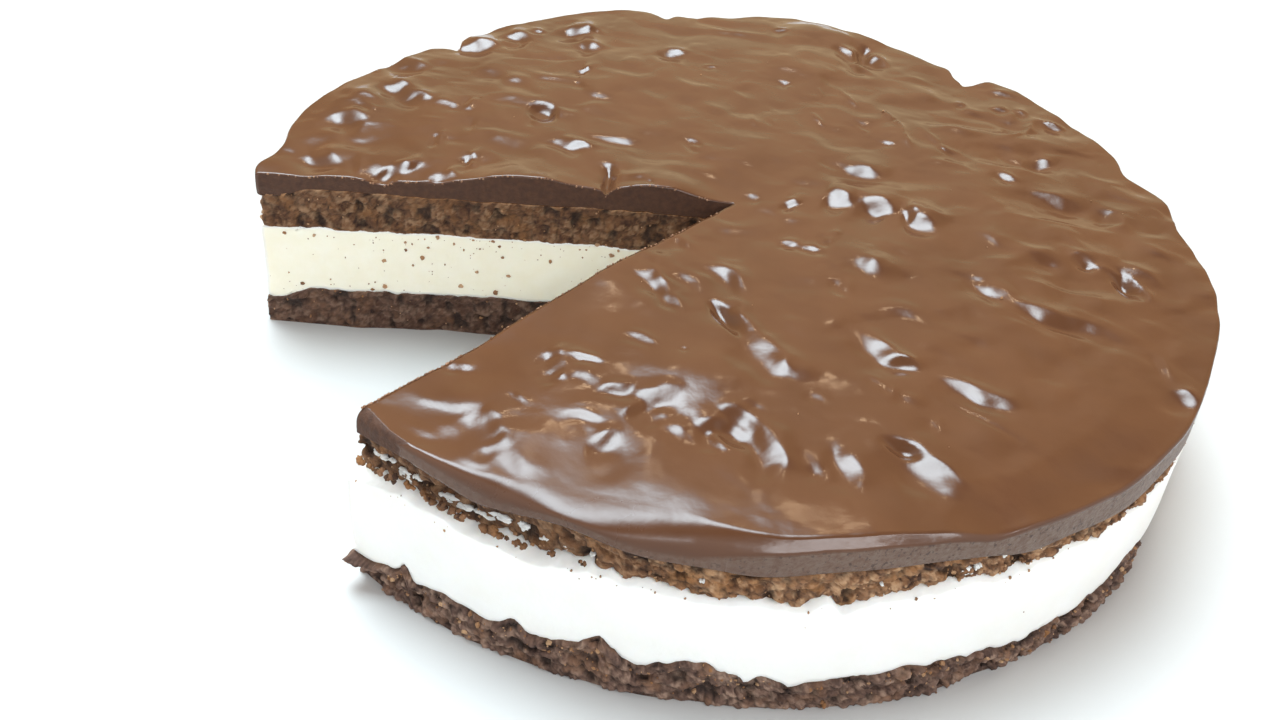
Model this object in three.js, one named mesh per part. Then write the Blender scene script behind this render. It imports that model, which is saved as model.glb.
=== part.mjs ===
import * as THREE from 'three';

// A chocolate cream cake, 26 cm across, with one wedge cut out and taken away.
// Millimetres, +Z up. The origin is on the cake's axis at the bottom, and angles
// are in degrees, anticlockwise from +X. The layers from the bottom up are sponge,
// cream, sponge and chocolate glaze, and the glaze laps a little over the rim.

// Plan
const CAKE_RADIUS = 130;
const NEAR_CUT = -125;
const FAR_CUT = 187.5;

// Levels of the layers inside the cake
const CREAM_BOTTOM = 13;
const CREAM_TOP = 33.5;
const GLAZE_BOTTOM = 45.5;
const GLAZE_MIDDLE_TOP = 51.8;
const GLAZE_RIM_TOP = 49.9;
const LAYER_GAP = 0.3;

// Levels of the layers where they show at the rim
const GLAZE_LIP = 41.6;
const TOP_SPONGE_EDGE = 33;
const BOTTOM_SPONGE_EDGE = 8.3;
const THINNEST_EDGE = 2.2;
const LAYER_TURNS_AT = 0.9;      // share of the radius where a layer starts to turn to its rim level

// Rim in plan
const GLAZE_ROUNDING = 1;
const SPONGE_INSET = 1.4;        // upper sponge behind the glaze
const JOINT_INSET = 1.2;         // where two layers meet, behind the face of the inner one
const BASE_FLARE = 1.4;          // lower sponge beyond the glaze
const CREAM_BULGE = 0.3;

// Fineness of the meshes
const RIM_STEPS = 144;
const GLAZE_STEP = 4.3;
const NARROWEST_MARK = 4.6;
const HIDDEN_STEP = 26;
const HIDDEN_RIM_STEP = 11;
const MARK_WARP = 4.5;           // wave length of the unevenness that bends the marks
const HIDDEN_RINGS = [0.13, 0.29, 0.46, 0.63, 0.78, 0.9, 1];

// Swells, bites and notches of the rim: angle, half width in degrees, millimetres outwards
const RIM_SWELLS = [
  [-97, 5, 1.2], [-41, 7, 1.4], [-33, 6, 1], [-17, 5, -0.8], [6, 8, -2], [9.5, 3, -1.4],
  [23, 3.4, -4.4], [34, 12, -1.4], [49, 4, 0.9], [54.4, 1.3, -6], [56.5, 2.2, -7],
  [62.5, 4.5, -4.6], [83, 6, 4], [95, 3, -2.6], [101, 3.5, -5], [105.5, 1.5, -6],
  [114, 5, 0.8], [129, 5, -2], [137, 3, -2.6], [142, 2, -5.6], [150, 13, -3.4],
  [169, 5, 1], [180, 3, -1.6], [186, 2, 1.6],
];

// Places where the glaze hangs lower, or stops higher, than the rest of its lip
const LIP_SWELLS = [
  [-119, 6, 2.6], [-110, 2.5, -1], [-101, 6.5, 3.4], [-84, 4, -1.2], [-56, 4, -2],
  [-44, 9, -4.2], [-28, 5, -1.6], [12, 6, 1], [54, 5, 1.6], [83, 6, -2], [120, 8, -1],
  [160, 7, -1.4],
];

// Places where the glaze runs over the rim in a wider round: angle, half width, millimetres
const ROUNDING_SWELLS = [[-125, 3.5, 2], [-97, 12, 7.5], [-72, 9, 1.2]];

// Where the rounding is a flat bevel instead, in degrees
const BEVEL_MIDDLE = -74;
const BEVEL_SPREAD = 15;

// Places where the glaze falls off before its edge: angle, half width, millimetres down
const RIM_FALLS = [[-97, 8, 1.4], [-60, 5, 1.2], [-46, 14, 2.8], [20, 9, 0.8], [140, 16, 0.9]];

// Places where the upper sponge stands back under the glaze: angle, half width, millimetres
const SPONGE_HOLLOWS = [[-106, 11, 3.2], [-121, 3, 1.4]];

// Ragged lower edge of the upper sponge: angle, half width, millimetres up
const TOP_EDGE_SWELLS = [
  [-118, 5, 1], [-98, 4.5, 2.6], [-79, 3, -1.6], [-76, 0.8, 2.6], [-74, 1.4, -1.6],
  [-65, 4, 1.6], [-52, 5, 1.2], [-45, 1.4, -2], [-36, 3, -1.4], [-20, 3, 2],
  [-5, 2.5, -2.5], [15, 3, 1.6], [37, 4, -2.4], [61, 3, 1.8], [78, 3, -2], [101, 4, 2.2],
  [124, 3, -2.6], [146, 4, 2], [166, 3, -2.2], [180, 3, 1.2],
];

// Bulges and hollows of the cream, of the lower sponge's foot and of its torn upper edge:
// angle, half width, millimetres outwards
const CREAM_SWELLS = [[-125, 5, 3.2]];
const FOOT_SWELLS = [[-19, 9, -3.5]];
const TORN_SWELLS = [[-125, 3, 2.4], [-19, 9, -2.6]];

// Torn upper edge of the lower sponge: angle, half width, millimetres up
const BOTTOM_EDGE_SWELLS = [
  [-118.7, 0.9, 3.6], [-115, 3, 1], [-105.8, 1, 3.4], [-101, 2, 2], [-97, 1.8, 6.2],
  [-91, 1, 1], [-87.5, 3.2, 4.6], [-82.3, 0.7, -1.6], [-80.5, 0.9, 1], [-78, 1.8, -2],
  [-52, 6, -2.4], [-44, 2.5, -2], [-34, 2.4, 1], [-20, 8, -5.4], [-2, 3, -1.6],
  [14, 3, 4.4], [30, 4, -3], [44, 2.4, 5.4], [62, 4, -2.6], [80, 3, 3.8], [97, 3, -4],
  [111, 2.4, 5.6], [131, 4, -2.8], [147, 3, 4.2], [164, 3, -3.4], [178, 3, 3],
];

// Slopes that the spatula left in the glaze, between a ridge on the left of the heading
// and a hollow on its right: middle x and y, heading, length, width, drop, and how far the
// middle of the line bows to the left
const SPATULA_MARKS = [
  // front
  [-16.5, -45.5, -52, 22, 4, 1.6, 0], [-0.5, -40, -52, 20, 4.5, 1.7, 3],
  [5.5, -56, -62, 22, 3.6, 1.9, 0], [13, -70, -56, 20, 6.5, 2.6, 0],
  [-30, -80.8, -4, 13, 2.4, 1, 1.2],
  [-10.5, -90, 10, 13, 5, 1.5, 0],
  [12, -101, -68, 24, 4.6, 2.2, 3],
  [32, -102.5, -78, 18, 4.5, 1.6, 0], [50, -98.5, -42, 21, 6.5, 2.5, 0],
  [40.5, -59, -48, 20, 4.5, 1.8, -1.5], [62.5, -70.5, -18, 25, 4.2, 1.7, 0],
  [-20, -105, 14, 9, 4.6, 1.3, 0], [112, -59, -35, 9, 5, 1.8, 0],
  [-37, -116, -40, 14, 3.6, 0.6, 0],
  // left
  [-105, 39.5, -25, 12, 6, 2.8, 0], [-99.5, 34.5, -25, 11, 5.5, 2.5, 0], [-88, 32.5, -6, 14, 3, 0.6, 0],
  [-113.5, 28, -20, 13, 6, 2.4, 0], [-114.5, 18, -15, 13, 5.5, 2.2, 0], [-106.5, 57, -25, 14, 6.5, 2.9, 0],
  [-115, -5, -30, 13, 6.5, 2.8, 0], [-93, -7.5, -35, 7, 7, 2.8, 0], [-79, -7, -30, 6, 5, 1.9, 0],
  [-48.5, 18.5, -30, 12, 5.5, 2.4, 0], [-35, 4, -78, 19, 2.6, 1.2, 0],
  // back
  [-90, 77.5, -15, 14, 7, 3.4, 0], [-77.5, 88, -25, 12, 5.5, 2.7, 0], [-60.3, 98, -25, 12, 8, 3.8, 0],
  [-54.5, 86, -35, 12, 5, 2.2, 0], [-26.8, 89.2, -20, 9, 5, 2.2, 0],
  [30.5, 107, -52, 13, 4, 2.2, 0], [34, 97, -62, 14, 3.6, 2.1, 0],
  [40, 106, -44, 14, 4, 2.4, 0], [7, 117, -20, 7, 2.6, 1.3, 0],
  [66, 64.5, 183, 36, 4.6, 1.3, 1], [82, 43.5, 184, 26, 4, 1, 1],
  [61, 36.5, 172, 22, 3.6, 1, -3],
  // middle
  [28.1, 7.8, -20, 9, 5.5, 2.2, 0], [39.5, 5.8, -28, 9, 5, 2.1, 0], [51, 0.5, -30, 11, 4.6, 2, 0],
  [33, 25, -12, 20, 6, 1.6, 0],
  [-14.3, 28.3, -50, 10, 2.6, 1.3, 0],
  // right
  [67.5, -26.5, -40, 15, 4.4, 1.5, 0], [85, -33.8, -8, 32, 5, 2.3, -1.5],
  [108.5, -9, -40, 15, 5, 1.9, 0], [106.5, -14.5, -66, 14, 3, 2.8, 1.5],
  [106, 20, -115, 12, 4.5, 1.9, 0], [92, 24.5, -5, 18, 6, 2.3, 0],
  [89.5, 48.5, -25, 8, 4.6, 2, 0], [85, 71, -80, 10, 5, 1.4, 0],
  [77, 33.5, -48, 9, 3, 1.4, 0], [96.3, 73.7, -15, 8, 3, 1.4, 0],
];

// Rounded swells and hollows in the glaze: x, y, heading, length, width, height, and how
// steep the walls are
const GLAZE_SWELLS = [
  [-52, -121, -5, 26, 26, -1.1, 1.4], [-24, -110, -10, 20, 22, -0.7, 1.5],
  [-56, -106.5, -8, 22, 14, -1.1, 1.5],
  [-55, -79, 55, 46, 24, -1.9, 1.2],
  [-60.5, 35.5, 90, 9, 8, -1.9, 1.6], [18, 103, 85, 52, 28, 1.4, 2.5],
  [93, -14, 0, 34, 14, -1.1, 2], [91, 20, 0, 34, 16, -1.1, 2],
  [80, 48, 0, 36, 13, -1.1, 2], [66, 70.5, 0, 48, 17, -1.4, 2],
  [29.5, 11.5, -75, 14, 13, 1.5, 1.3], [41.5, 11.5, -80, 14, 12, 1.6, 1.3],
  [52, 6, -70, 14, 11, 1.5, 1.3], [37.5, -20.5, -60, 12, 10, 1.2, 1.3],
  [35.5, 109, 80, 12, 4.5, -1.6, 1.5], [-2, -80, 0, 26, 18, 0.9, 1.2],
  [34, 34, -10, 32, 18, 0.8, 1.2], [-116, 26, -70, 26, 18, 1.5, 1.2],
  [-57, -7, 0, 30, 22, 2.3, 1.5], [-21, 1, 0, 22, 20, 2.5, 1.5], [-88, -16, -86, 22, 22, -1.6, 1.2],
  [66, 92, -35, 26, 20, -1.2, 1.2], [70, -100, 30, 40, 24, -0.5, 1.2],
  [16, 122, 0, 44, 18, 1.2, 1.2],
];

const degToRad = (deg) => deg * Math.PI / 180;
const mix = (a, b, t) => a + (b - a) * t;
const smoothstep = (t) => {
  const c = Math.min(1, Math.max(0, t));
  return c * c * (3 - 2 * c);
};

// Repeatable smooth unevenness between -1 and 1
function lattice(i, j) {
  const s = Math.sin(i * 127.1 + j * 311.7) * 43758.5453;
  return 2 * (s - Math.floor(s)) - 1;
}

function noise(x, y) {
  const i = Math.floor(x);
  const j = Math.floor(y);
  const u = smoothstep(x - i);
  const v = smoothstep(y - j);
  const low = mix(lattice(i, j), lattice(i + 1, j), u);
  const high = mix(lattice(i, j + 1), lattice(i + 1, j + 1), u);
  return mix(low, high, v);
}

// Unevenness round the rim, with a wave of the given length in millimetres
function rimNoise(deg, wave, row) {
  const along = degToRad(deg) * CAKE_RADIUS / wave;
  return noise(along, row);
}

function swell(list, deg) {
  let sum = 0;
  for (const [angle, halfWidth, amount] of list) {
    const away = ((deg - angle + 540) % 360) - 180;
    sum += amount * Math.exp(-((away / halfWidth) ** 2));
  }
  return sum;
}

// Outline of each layer at the rim, by angle
const rimRadius = (deg) => CAKE_RADIUS + 0.7 * rimNoise(deg, 17, 3.5) + swell(RIM_SWELLS, deg);
const glazeRounding = (deg) => GLAZE_ROUNDING + 0.3 * rimNoise(deg, 30, 8.5)
  + swell(ROUNDING_SWELLS, deg);
const lipLevel = (deg) => GLAZE_LIP + 0.8 * rimNoise(deg, 14, 12.5) + swell(LIP_SWELLS, deg);
const topSpongeEdge = (deg) => TOP_SPONGE_EDGE + 1.1 * rimNoise(deg, 7, 16.5)
  + swell(TOP_EDGE_SWELLS, deg);
const bottomSpongeEdge = (deg) => Math.max(THINNEST_EDGE,
  BOTTOM_SPONGE_EDGE + 1.1 * rimNoise(deg, 8, 20.5) + swell(BOTTOM_EDGE_SWELLS, deg));

const fullRadius = (deg) => Math.max(rimRadius(deg), CAKE_RADIUS - 4);
const spongeRadius = (deg) => fullRadius(deg) - SPONGE_INSET - swell(SPONGE_HOLLOWS, deg);
const creamRadius = (deg) => CAKE_RADIUS + CREAM_BULGE + 0.5 * rimNoise(deg, 40, 24.5)
  + swell(CREAM_SWELLS, deg);
const baseRadius = (deg) => CAKE_RADIUS + BASE_FLARE + 0.8 * rimNoise(deg, 11, 28.5)
  + swell(FOOT_SWELLS, deg);
const tornRadius = (deg) => creamRadius(deg) + 0.5 + 0.8 * rimNoise(deg, 6, 36.5)
  + swell(TORN_SWELLS, deg);

// Where two layers meet at the rim
const glazeJoint = (deg) => Math.min(rimRadius(deg) - 2.2, spongeRadius(deg) - 0.6);
const creamTopJoint = (deg) => Math.min(spongeRadius(deg), creamRadius(deg)) - JOINT_INSET;
const creamBottomJoint = (deg) => creamRadius(deg) - JOINT_INSET;

// Height that one spatula mark adds at x, y
function markHeight([mx, my, heading, length, width, drop, bow], x, y) {
  const c = Math.cos(degToRad(heading));
  const s = Math.sin(degToRad(heading));
  const along = 2 * ((x - mx) * c + (y - my) * s) / length;
  if (Math.abs(along) >= 1) return 0;
  const away = (y - my) * c - (x - mx) * s - bow * (1 - along * along);
  const across = 1.4 * away / Math.max(width, NARROWEST_MARK);
  const ridge = Math.exp(-((across - 0.75) ** 2)) - Math.exp(-((across + 0.75) ** 2));
  return (1 - along * along) ** 1.3 * drop / 2 * ridge;
}

function swellHeight([mx, my, heading, length, width, height, steepness], x, y) {
  const c = Math.cos(degToRad(heading));
  const s = Math.sin(degToRad(heading));
  const along = 2 * ((x - mx) * c + (y - my) * s) / length;
  const across = 2 * ((y - my) * c - (x - mx) * s) / width;
  return height * Math.exp(-((along * along + across * across) ** steepness));
}

// Angle of a point in degrees, running on past 180 up to the far cut
function angleOf(x, y) {
  const deg = Math.atan2(y, x) * 180 / Math.PI;
  return deg < NEAR_CUT - 20 ? deg + 360 : deg;
}

// Upper surface of the glaze, spread by hand and left uneven
function glazeTop(x, y) {
  const out = Math.hypot(x, y) / CAKE_RADIUS;
  let z = mix(GLAZE_MIDDLE_TOP, GLAZE_RIM_TOP, smoothstep((out - 0.55) / 0.45));
  z += 0.75 * noise(x / 34, y / 34) + 0.3 * noise(x / 13 + 40, y / 13);
  z -= swell(RIM_FALLS, angleOf(x, y)) * smoothstep((out - 0.89) / 0.11);
  const warpedX = x + noise(x / MARK_WARP, y / MARK_WARP + 60);
  const warpedY = y + noise(x / MARK_WARP + 60, y / MARK_WARP);
  for (const mark of SPATULA_MARKS) z += markHeight(mark, warpedX, warpedY);
  for (const bump of GLAZE_SWELLS) z += swellHeight(bump, x, y);
  return z;
}

// Level of the surface between two layers: nearly flat inside, then turning to its
// level at the rim
function layerLevel(inside, unevenness, seed, rimLevel, joint) {
  return (x, y) => {
    const deg = angleOf(x, y);
    const share = Math.hypot(x, y) / joint(deg);
    const turn = smoothstep((share - LAYER_TURNS_AT) / (1 - LAYER_TURNS_AT));
    const flat = inside + unevenness * noise(x / 26 + seed, y / 26);
    return mix(flat, rimLevel(deg), turn);
  };
}

const glazeOnSponge = layerLevel(GLAZE_BOTTOM, 0.6, 50, (deg) => lipLevel(deg) + 0.7, glazeJoint);
const spongeOnCream = layerLevel(CREAM_TOP, 0.7, 60, topSpongeEdge, creamTopJoint);
const creamOnSponge = layerLevel(CREAM_BOTTOM, 0.7, 70, bottomSpongeEdge, creamBottomJoint);

const CUT_REACH = 30;            // how far into the cake the unevenness of a cut face fades
const CUT_CRUMB = 1.3;           // relief of the sponges' cut crumb
const KNIFE_WAVE = 0.5;          // waviness of the knife's stroke

// How far a cut face stands off its plane, in millimetres, into the cake. The knife
// left cream and glaze smooth and tore the crumb of the two sponges.
function cutUnevenness(cut, r, z) {
  const inTopSponge = Math.exp(-(((z - 39.5) / 4.5) ** 4));
  const inBottomSponge = Math.exp(-(((z - 6) / 6) ** 4));
  const crumb = CUT_CRUMB * Math.max(inTopSponge, inBottomSponge) * noise(r / 6 + cut, z / 4);
  const knife = KNIFE_WAVE * noise(r / 30 + cut, z / 40) + crumb;
  return knife * smoothstep(r / 12);
}

function place(r, deg, z) {
  const angle = degToRad(deg);
  const point = new THREE.Vector3(r * Math.cos(angle), r * Math.sin(angle), z);
  const fromNear = r * degToRad(deg - NEAR_CUT);
  const fromFar = r * degToRad(FAR_CUT - deg);
  const near = cutUnevenness(NEAR_CUT, r, z) * Math.max(0, 1 - fromNear / CUT_REACH);
  const far = cutUnevenness(FAR_CUT, r, z) * Math.max(0, 1 - fromFar / CUT_REACH);
  const shift = near - far;
  point.x -= shift * Math.sin(angle);
  point.y += shift * Math.cos(angle);
  return point;
}

// One layer of the cake as a closed body, made of rows of points. A row is a list of
// vertex numbers, and two rows are joined by a strip of triangles.
class LayerBody {
  constructor() {
    this.positions = [];
    this.triangles = [];
  }

  point(r, deg, z) {
    const p = place(r, deg, z);
    this.positions.push(p.x, p.y, p.z);
    return this.positions.length / 3 - 1;
  }

  // Triangles between two rows that may have different numbers of points
  strip(rowA, rowB, flip) {
    let a = 0;
    let b = 0;
    while (a < rowA.length - 1 || b < rowB.length - 1) {
      const nextA = (a + 1) / Math.max(1, rowA.length - 1);
      const nextB = (b + 1) / Math.max(1, rowB.length - 1);
      const stepB = a === rowA.length - 1 || (b < rowB.length - 1 && nextB <= nextA);
      const corner = stepB ? rowB[b + 1] : rowA[a + 1];
      this.triangles.push(rowA[a], ...(flip ? [corner, rowB[b]] : [rowB[b], corner]));
      if (stepB) b += 1;
      else a += 1;
    }
  }

  // An upper or lower face: a fan of rings round the axis out to edge(deg)
  face(rings, step, edge, level, flip) {
    const centre = this.point(0, NEAR_CUT, level(0, 0));
    let row = [centre];
    const rows = [row];
    for (const share of rings) {
      const arc = degToRad(FAR_CUT - NEAR_CUT) * share * CAKE_RADIUS;
      const count = share === 1 ? RIM_STEPS : Math.min(RIM_STEPS, Math.max(3, Math.round(arc / step(share))));
      const ring = [];
      for (let j = 0; j <= count; j++) {
        const deg = mix(NEAR_CUT, FAR_CUT, j / count);
        const r = share * edge(deg);
        const x = r * Math.cos(degToRad(deg));
        const y = r * Math.sin(degToRad(deg));
        ring.push(this.point(r, deg, level(x, y)));
      }
      this.strip(row, ring, flip);
      row = ring;
      rows.push(ring);
    }
    return rows;
  }

  geometry() {
    const shape = new THREE.BufferGeometry();
    shape.setAttribute('position', new THREE.Float32BufferAttribute(this.positions, 3));
    shape.setIndex(this.triangles);
    shape.computeVertexNormals();
    return shape;
  }
}

// A layer between two levels. top and bottom hold each face's rings, step, edge and
// level, sides is a list of functions of the angle that give radius and height of each
// row down the side, and cutPoints is how many points cross a cut face.
function makeLayer({ top, bottom, sides, cutPoints }) {
  const body = new LayerBody();
  const upper = body.face(top.rings, top.step, top.edge, top.level, false);
  const lower = body.face(bottom.rings, bottom.step, bottom.edge, bottom.level, true);

  const sideRows = sides.map((profile) => {
    const row = [];
    for (let j = 0; j <= RIM_STEPS; j++) {
      const deg = mix(NEAR_CUT, FAR_CUT, j / RIM_STEPS);
      row.push(body.point(...profile(deg)));
    }
    return row;
  });
  const rows = [upper.at(-1), ...sideRows, lower.at(-1)];
  for (let k = 1; k < rows.length; k++) body.strip(rows[k - 1], rows[k], false);

  // Both cut faces share the points on the axis
  const axis = sides.map((_, k) => {
    const share = (k + 1) / (sides.length + 1);
    return body.point(0, NEAR_CUT, mix(top.level(0, 0), bottom.level(0, 0), share));
  });
  for (const atFar of [false, true]) {
    const deg = atFar ? FAR_CUT : NEAR_CUT;
    const end = (ring) => (atFar ? ring.at(-1) : ring[0]);
    const cutRows = [upper.map(end)];
    sides.forEach((profile, k) => {
      const [sideRadius, , sideLevel] = profile(deg);
      const row = [axis[k]];
      for (let i = 1; i < cutPoints; i++) {
        const share = i / cutPoints;
        const r = share * sideRadius;
        const x = r * Math.cos(degToRad(deg));
        const y = r * Math.sin(degToRad(deg));
        const level = mix(top.level(x, y), bottom.level(x, y), (k + 1) / (sides.length + 1));
        const turn = smoothstep((share - LAYER_TURNS_AT) / (1 - LAYER_TURNS_AT));
        row.push(body.point(r, deg, mix(level, sideLevel, turn)));
      }
      row.push(end(sideRows[k]));
      cutRows.push(row);
    });
    cutRows.push(lower.map(end));
    for (let k = 1; k < cutRows.length; k++) body.strip(cutRows[k - 1], cutRows[k], atFar);
  }
  return body.geometry();
}

const evenRings = (count) => Array.from({ length: count }, (_, i) => (i + 1) / count);
const hiddenStep = (share) => mix(HIDDEN_STEP, HIDDEN_RIM_STEP, smoothstep((share - 0.6) / 0.3));
const raised = (level, by) => (x, y) => level(x, y) + by;

// A hidden face between two layers. The layers above and below use the same points,
// half a gap apart.
const hiddenFace = (edge, level, by) => (
  { rings: HIDDEN_RINGS, step: hiddenStep, edge, level: raised(level, by) }
);

// Glaze: rounded over the rim, then a lip that turns in under itself
function glazeGeometry() {
  const topEdge = (deg) => rimRadius(deg) - glazeRounding(deg);
  const levelAt = (deg) => {
    const r = topEdge(deg);
    return glazeTop(r * Math.cos(degToRad(deg)), r * Math.sin(degToRad(deg)));
  };
  const drop = (deg) => Math.min(glazeRounding(deg), levelAt(deg) - lipLevel(deg) - 2.4);
  // Middle of the rounding, or of the flat bevel that the glaze has there at the front
  const middle = (deg) => mix(1 - Math.SQRT1_2, 0.5, Math.exp(-(((deg - BEVEL_MIDDLE) / BEVEL_SPREAD) ** 4)));
  return makeLayer({
    top: {
      rings: evenRings(Math.round(CAKE_RADIUS / GLAZE_STEP)),
      step: () => GLAZE_STEP,
      edge: topEdge,
      level: glazeTop,
    },
    bottom: hiddenFace(glazeJoint, glazeOnSponge, LAYER_GAP / 2),
    sides: [
      (deg) => [rimRadius(deg) - middle(deg) * glazeRounding(deg), deg,
        levelAt(deg) - middle(deg) * drop(deg)],
      (deg) => [rimRadius(deg), deg, levelAt(deg) - drop(deg)],
      (deg) => [rimRadius(deg) + 0.2, deg, lipLevel(deg) + 1.2],
      (deg) => [rimRadius(deg) - 0.7, deg, lipLevel(deg)],
    ],
    cutPoints: 22,
  });
}

// Upper sponge: crumbly rim, a little behind the glaze, with a ragged lower edge
function topSpongeGeometry() {
  const crumb = (deg, row) => 0.8 * rimNoise(deg, 5.5, row);
  const height = (deg, share) => mix(lipLevel(deg), topSpongeEdge(deg), share);
  return makeLayer({
    top: hiddenFace(glazeJoint, glazeOnSponge, -LAYER_GAP / 2),
    bottom: hiddenFace(creamTopJoint, spongeOnCream, LAYER_GAP / 2),
    sides: [
      (deg) => [Math.min(glazeJoint(deg) + 0.3, spongeRadius(deg)), deg, height(deg, 0.1)],
      (deg) => [spongeRadius(deg) + crumb(deg, 32.5), deg, height(deg, 0.42)],
      (deg) => [spongeRadius(deg) + crumb(deg, 33.5), deg, height(deg, 0.82)],
    ],
    cutPoints: 22,
  });
}

// Cream: smoothed against the ring of the tin
function creamGeometry() {
  const height = (deg, share) => mix(topSpongeEdge(deg), bottomSpongeEdge(deg), share);
  return makeLayer({
    top: hiddenFace(creamTopJoint, spongeOnCream, -LAYER_GAP / 2),
    bottom: hiddenFace(creamBottomJoint, creamOnSponge, LAYER_GAP / 2),
    sides: [
      (deg) => [creamRadius(deg) - 0.4, deg, height(deg, 0.06)],
      (deg) => [creamRadius(deg), deg, height(deg, 0.35)],
      (deg) => [creamRadius(deg) - 0.3, deg, height(deg, 0.93)],
    ],
    cutPoints: 16,
  });
}

// Lower sponge: torn where the ring of the tin came off, flat underneath
function bottomSpongeGeometry() {
  return makeLayer({
    top: hiddenFace(creamBottomJoint, creamOnSponge, -LAYER_GAP / 2),
    bottom: {
      rings: [0.25, 0.6, 1],
      step: () => 45,
      edge: (deg) => baseRadius(deg) - 0.5,
      level: () => 0,
    },
    sides: [
      (deg) => [tornRadius(deg), deg, bottomSpongeEdge(deg) * 0.9 - 0.2],
      (deg) => [baseRadius(deg) + 0.4 * rimNoise(deg, 6, 37.5), deg, bottomSpongeEdge(deg) * 0.5],
      (deg) => [baseRadius(deg), deg, bottomSpongeEdge(deg) * 0.1 + 0.3],
    ],
    cutPoints: 22,
  });
}

function foodMesh(name, geometry, color, roughness) {
  const material = new THREE.MeshStandardMaterial({ color, roughness, metalness: 0 });
  const mesh = new THREE.Mesh(geometry, material);
  mesh.name = name;
  return mesh;
}

const cake = new THREE.Group();
cake.add(foodMesh('bottom_sponge', bottomSpongeGeometry(), 0x3a2116, 0.95));
cake.add(foodMesh('cream_filling', creamGeometry(), 0xf7f3e6, 0.55));
cake.add(foodMesh('top_sponge', topSpongeGeometry(), 0x4a2a1b, 0.95));
cake.add(foodMesh('chocolate_glaze', glazeGeometry(), 0x4b2c20, 0.25));

export default cake;
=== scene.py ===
import math
from itertools import combinations
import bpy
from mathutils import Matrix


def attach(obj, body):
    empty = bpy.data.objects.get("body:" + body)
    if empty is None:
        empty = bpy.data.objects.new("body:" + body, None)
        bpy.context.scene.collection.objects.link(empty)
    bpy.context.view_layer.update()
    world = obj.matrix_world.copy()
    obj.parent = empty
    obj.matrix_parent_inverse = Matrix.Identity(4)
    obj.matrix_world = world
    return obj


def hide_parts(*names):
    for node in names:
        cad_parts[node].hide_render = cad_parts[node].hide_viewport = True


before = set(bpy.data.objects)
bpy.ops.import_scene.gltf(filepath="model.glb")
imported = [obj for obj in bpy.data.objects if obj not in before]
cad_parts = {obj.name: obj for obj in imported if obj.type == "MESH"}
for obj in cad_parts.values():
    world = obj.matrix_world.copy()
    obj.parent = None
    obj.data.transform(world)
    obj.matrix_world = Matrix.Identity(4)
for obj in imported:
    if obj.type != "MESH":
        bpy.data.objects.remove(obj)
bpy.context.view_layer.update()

from types import SimpleNamespace

import bpy
import numpy as np
from mathutils import Matrix

# A chocolate cream cake, 26 cm across, with one wedge taken out. Shapes are worked out
# in millimetres, with the origin on the cake's axis at the bottom, and angles are in
# degrees, anticlockwise from +X. The frame and Blender's objects are in metres.
MM = 0.001

# Plan
CAKE_RADIUS = 130
NEAR_CUT = -125
FAR_CUT = 187.5

# Levels of the layers inside the cake
CREAM_BOTTOM = 13
CREAM_TOP = 33.5
GLAZE_BOTTOM = 45.5
GLAZE_MIDDLE_TOP = 51.8
GLAZE_RIM_TOP = 49.9

# Levels of the layers where they show at the rim, and the share of the radius where a layer
# starts to turn to its rim level
GLAZE_LIP = 41.6
TOP_SPONGE_EDGE = 33
BOTTOM_SPONGE_EDGE = 8.3
THINNEST_EDGE = 2.2
LAYER_TURNS_AT = 0.9

# Rim in plan
RIM_LENGTH = math.radians(FAR_CUT - NEAR_CUT) * CAKE_RADIUS
GLAZE_ROUNDING = 1
SPONGE_INSET = 1.4
JOINT_INSET = 1.2
BASE_FLARE = 1.4
CREAM_BULGE = 0.3

# Side of the glaze: least height under its rounding, the angles where the knife left it
# bevelled, and where the broken corner at the near cut ends
LEAST_SIDE = 2.4
BEVEL_MIDDLE = -74
BEVEL_SPREAD = 15
CORNER_END = -118.5

# Wave length of the unevenness that bends the spatula marks, and height of the ripples
# between them, near the front and beyond it
MARK_WARP = 4.5
FRONT_RIPPLES = 0.24
BACK_RIPPLES = 0.5

# Fineness of the meshes
GLAZE_STEP = 0.85
SPONGE_STEP = 0.5
CREAM_STEP = 0.9

# Swells, bites and notches of the rim: angle, half width in degrees, millimetres outwards
RIM_SWELLS = [
    (-97, 5, 1.2), (-41, 7, 1.4), (-33, 6, 1), (-17, 5, -0.8), (6, 8, -2), (9.5, 3, -1.4),
    (23, 3.4, -4.4), (34, 12, -1.4), (49, 4, 0.9), (54.4, 1.3, -6), (56.5, 2.2, -7), (62.5, 4.5, -4.6),
    (83, 6, 4), (95, 3, -2.6), (101, 3.5, -5), (105.5, 1.5, -6), (114, 5, 0.8), (129, 5, -2),
    (137, 3, -2.6), (142, 2, -5.6), (150, 13, -3.4), (169, 5, 1), (180, 3, -1.6), (186, 2, 1.6),
]

# Places where the glaze hangs lower, or stops higher, than the rest of its lip
LIP_SWELLS = [
    (-119, 6, 2.6), (-110, 2.5, -1), (-101, 6.5, 3.4), (-84, 4, -1.2), (-56, 4, -2), (-44, 9, -4.2),
    (-28, 5, -1.6), (12, 6, 1), (54, 5, 1.6), (83, 6, -2), (120, 8, -1), (160, 7, -1.4),
]

# Places where the glaze runs over the rim in a wider round: angle, half width, millimetres
ROUNDING_SWELLS = [(-125, 3.5, 2), (-97, 12, 7.5), (-72, 9, 1.2)]

# Places where the glaze falls off before its edge: angle, half width, millimetres down
RIM_FALLS = [(-97, 8, 1.4), (-60, 5, 1.2), (-46, 14, 2.8), (20, 9, 0.8), (140, 16, 0.9)]

# Places where the upper sponge stands back under the glaze: angle, half width, millimetres
SPONGE_HOLLOWS = [(-106, 11, 3.2), (-121, 3, 1.4)]

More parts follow.
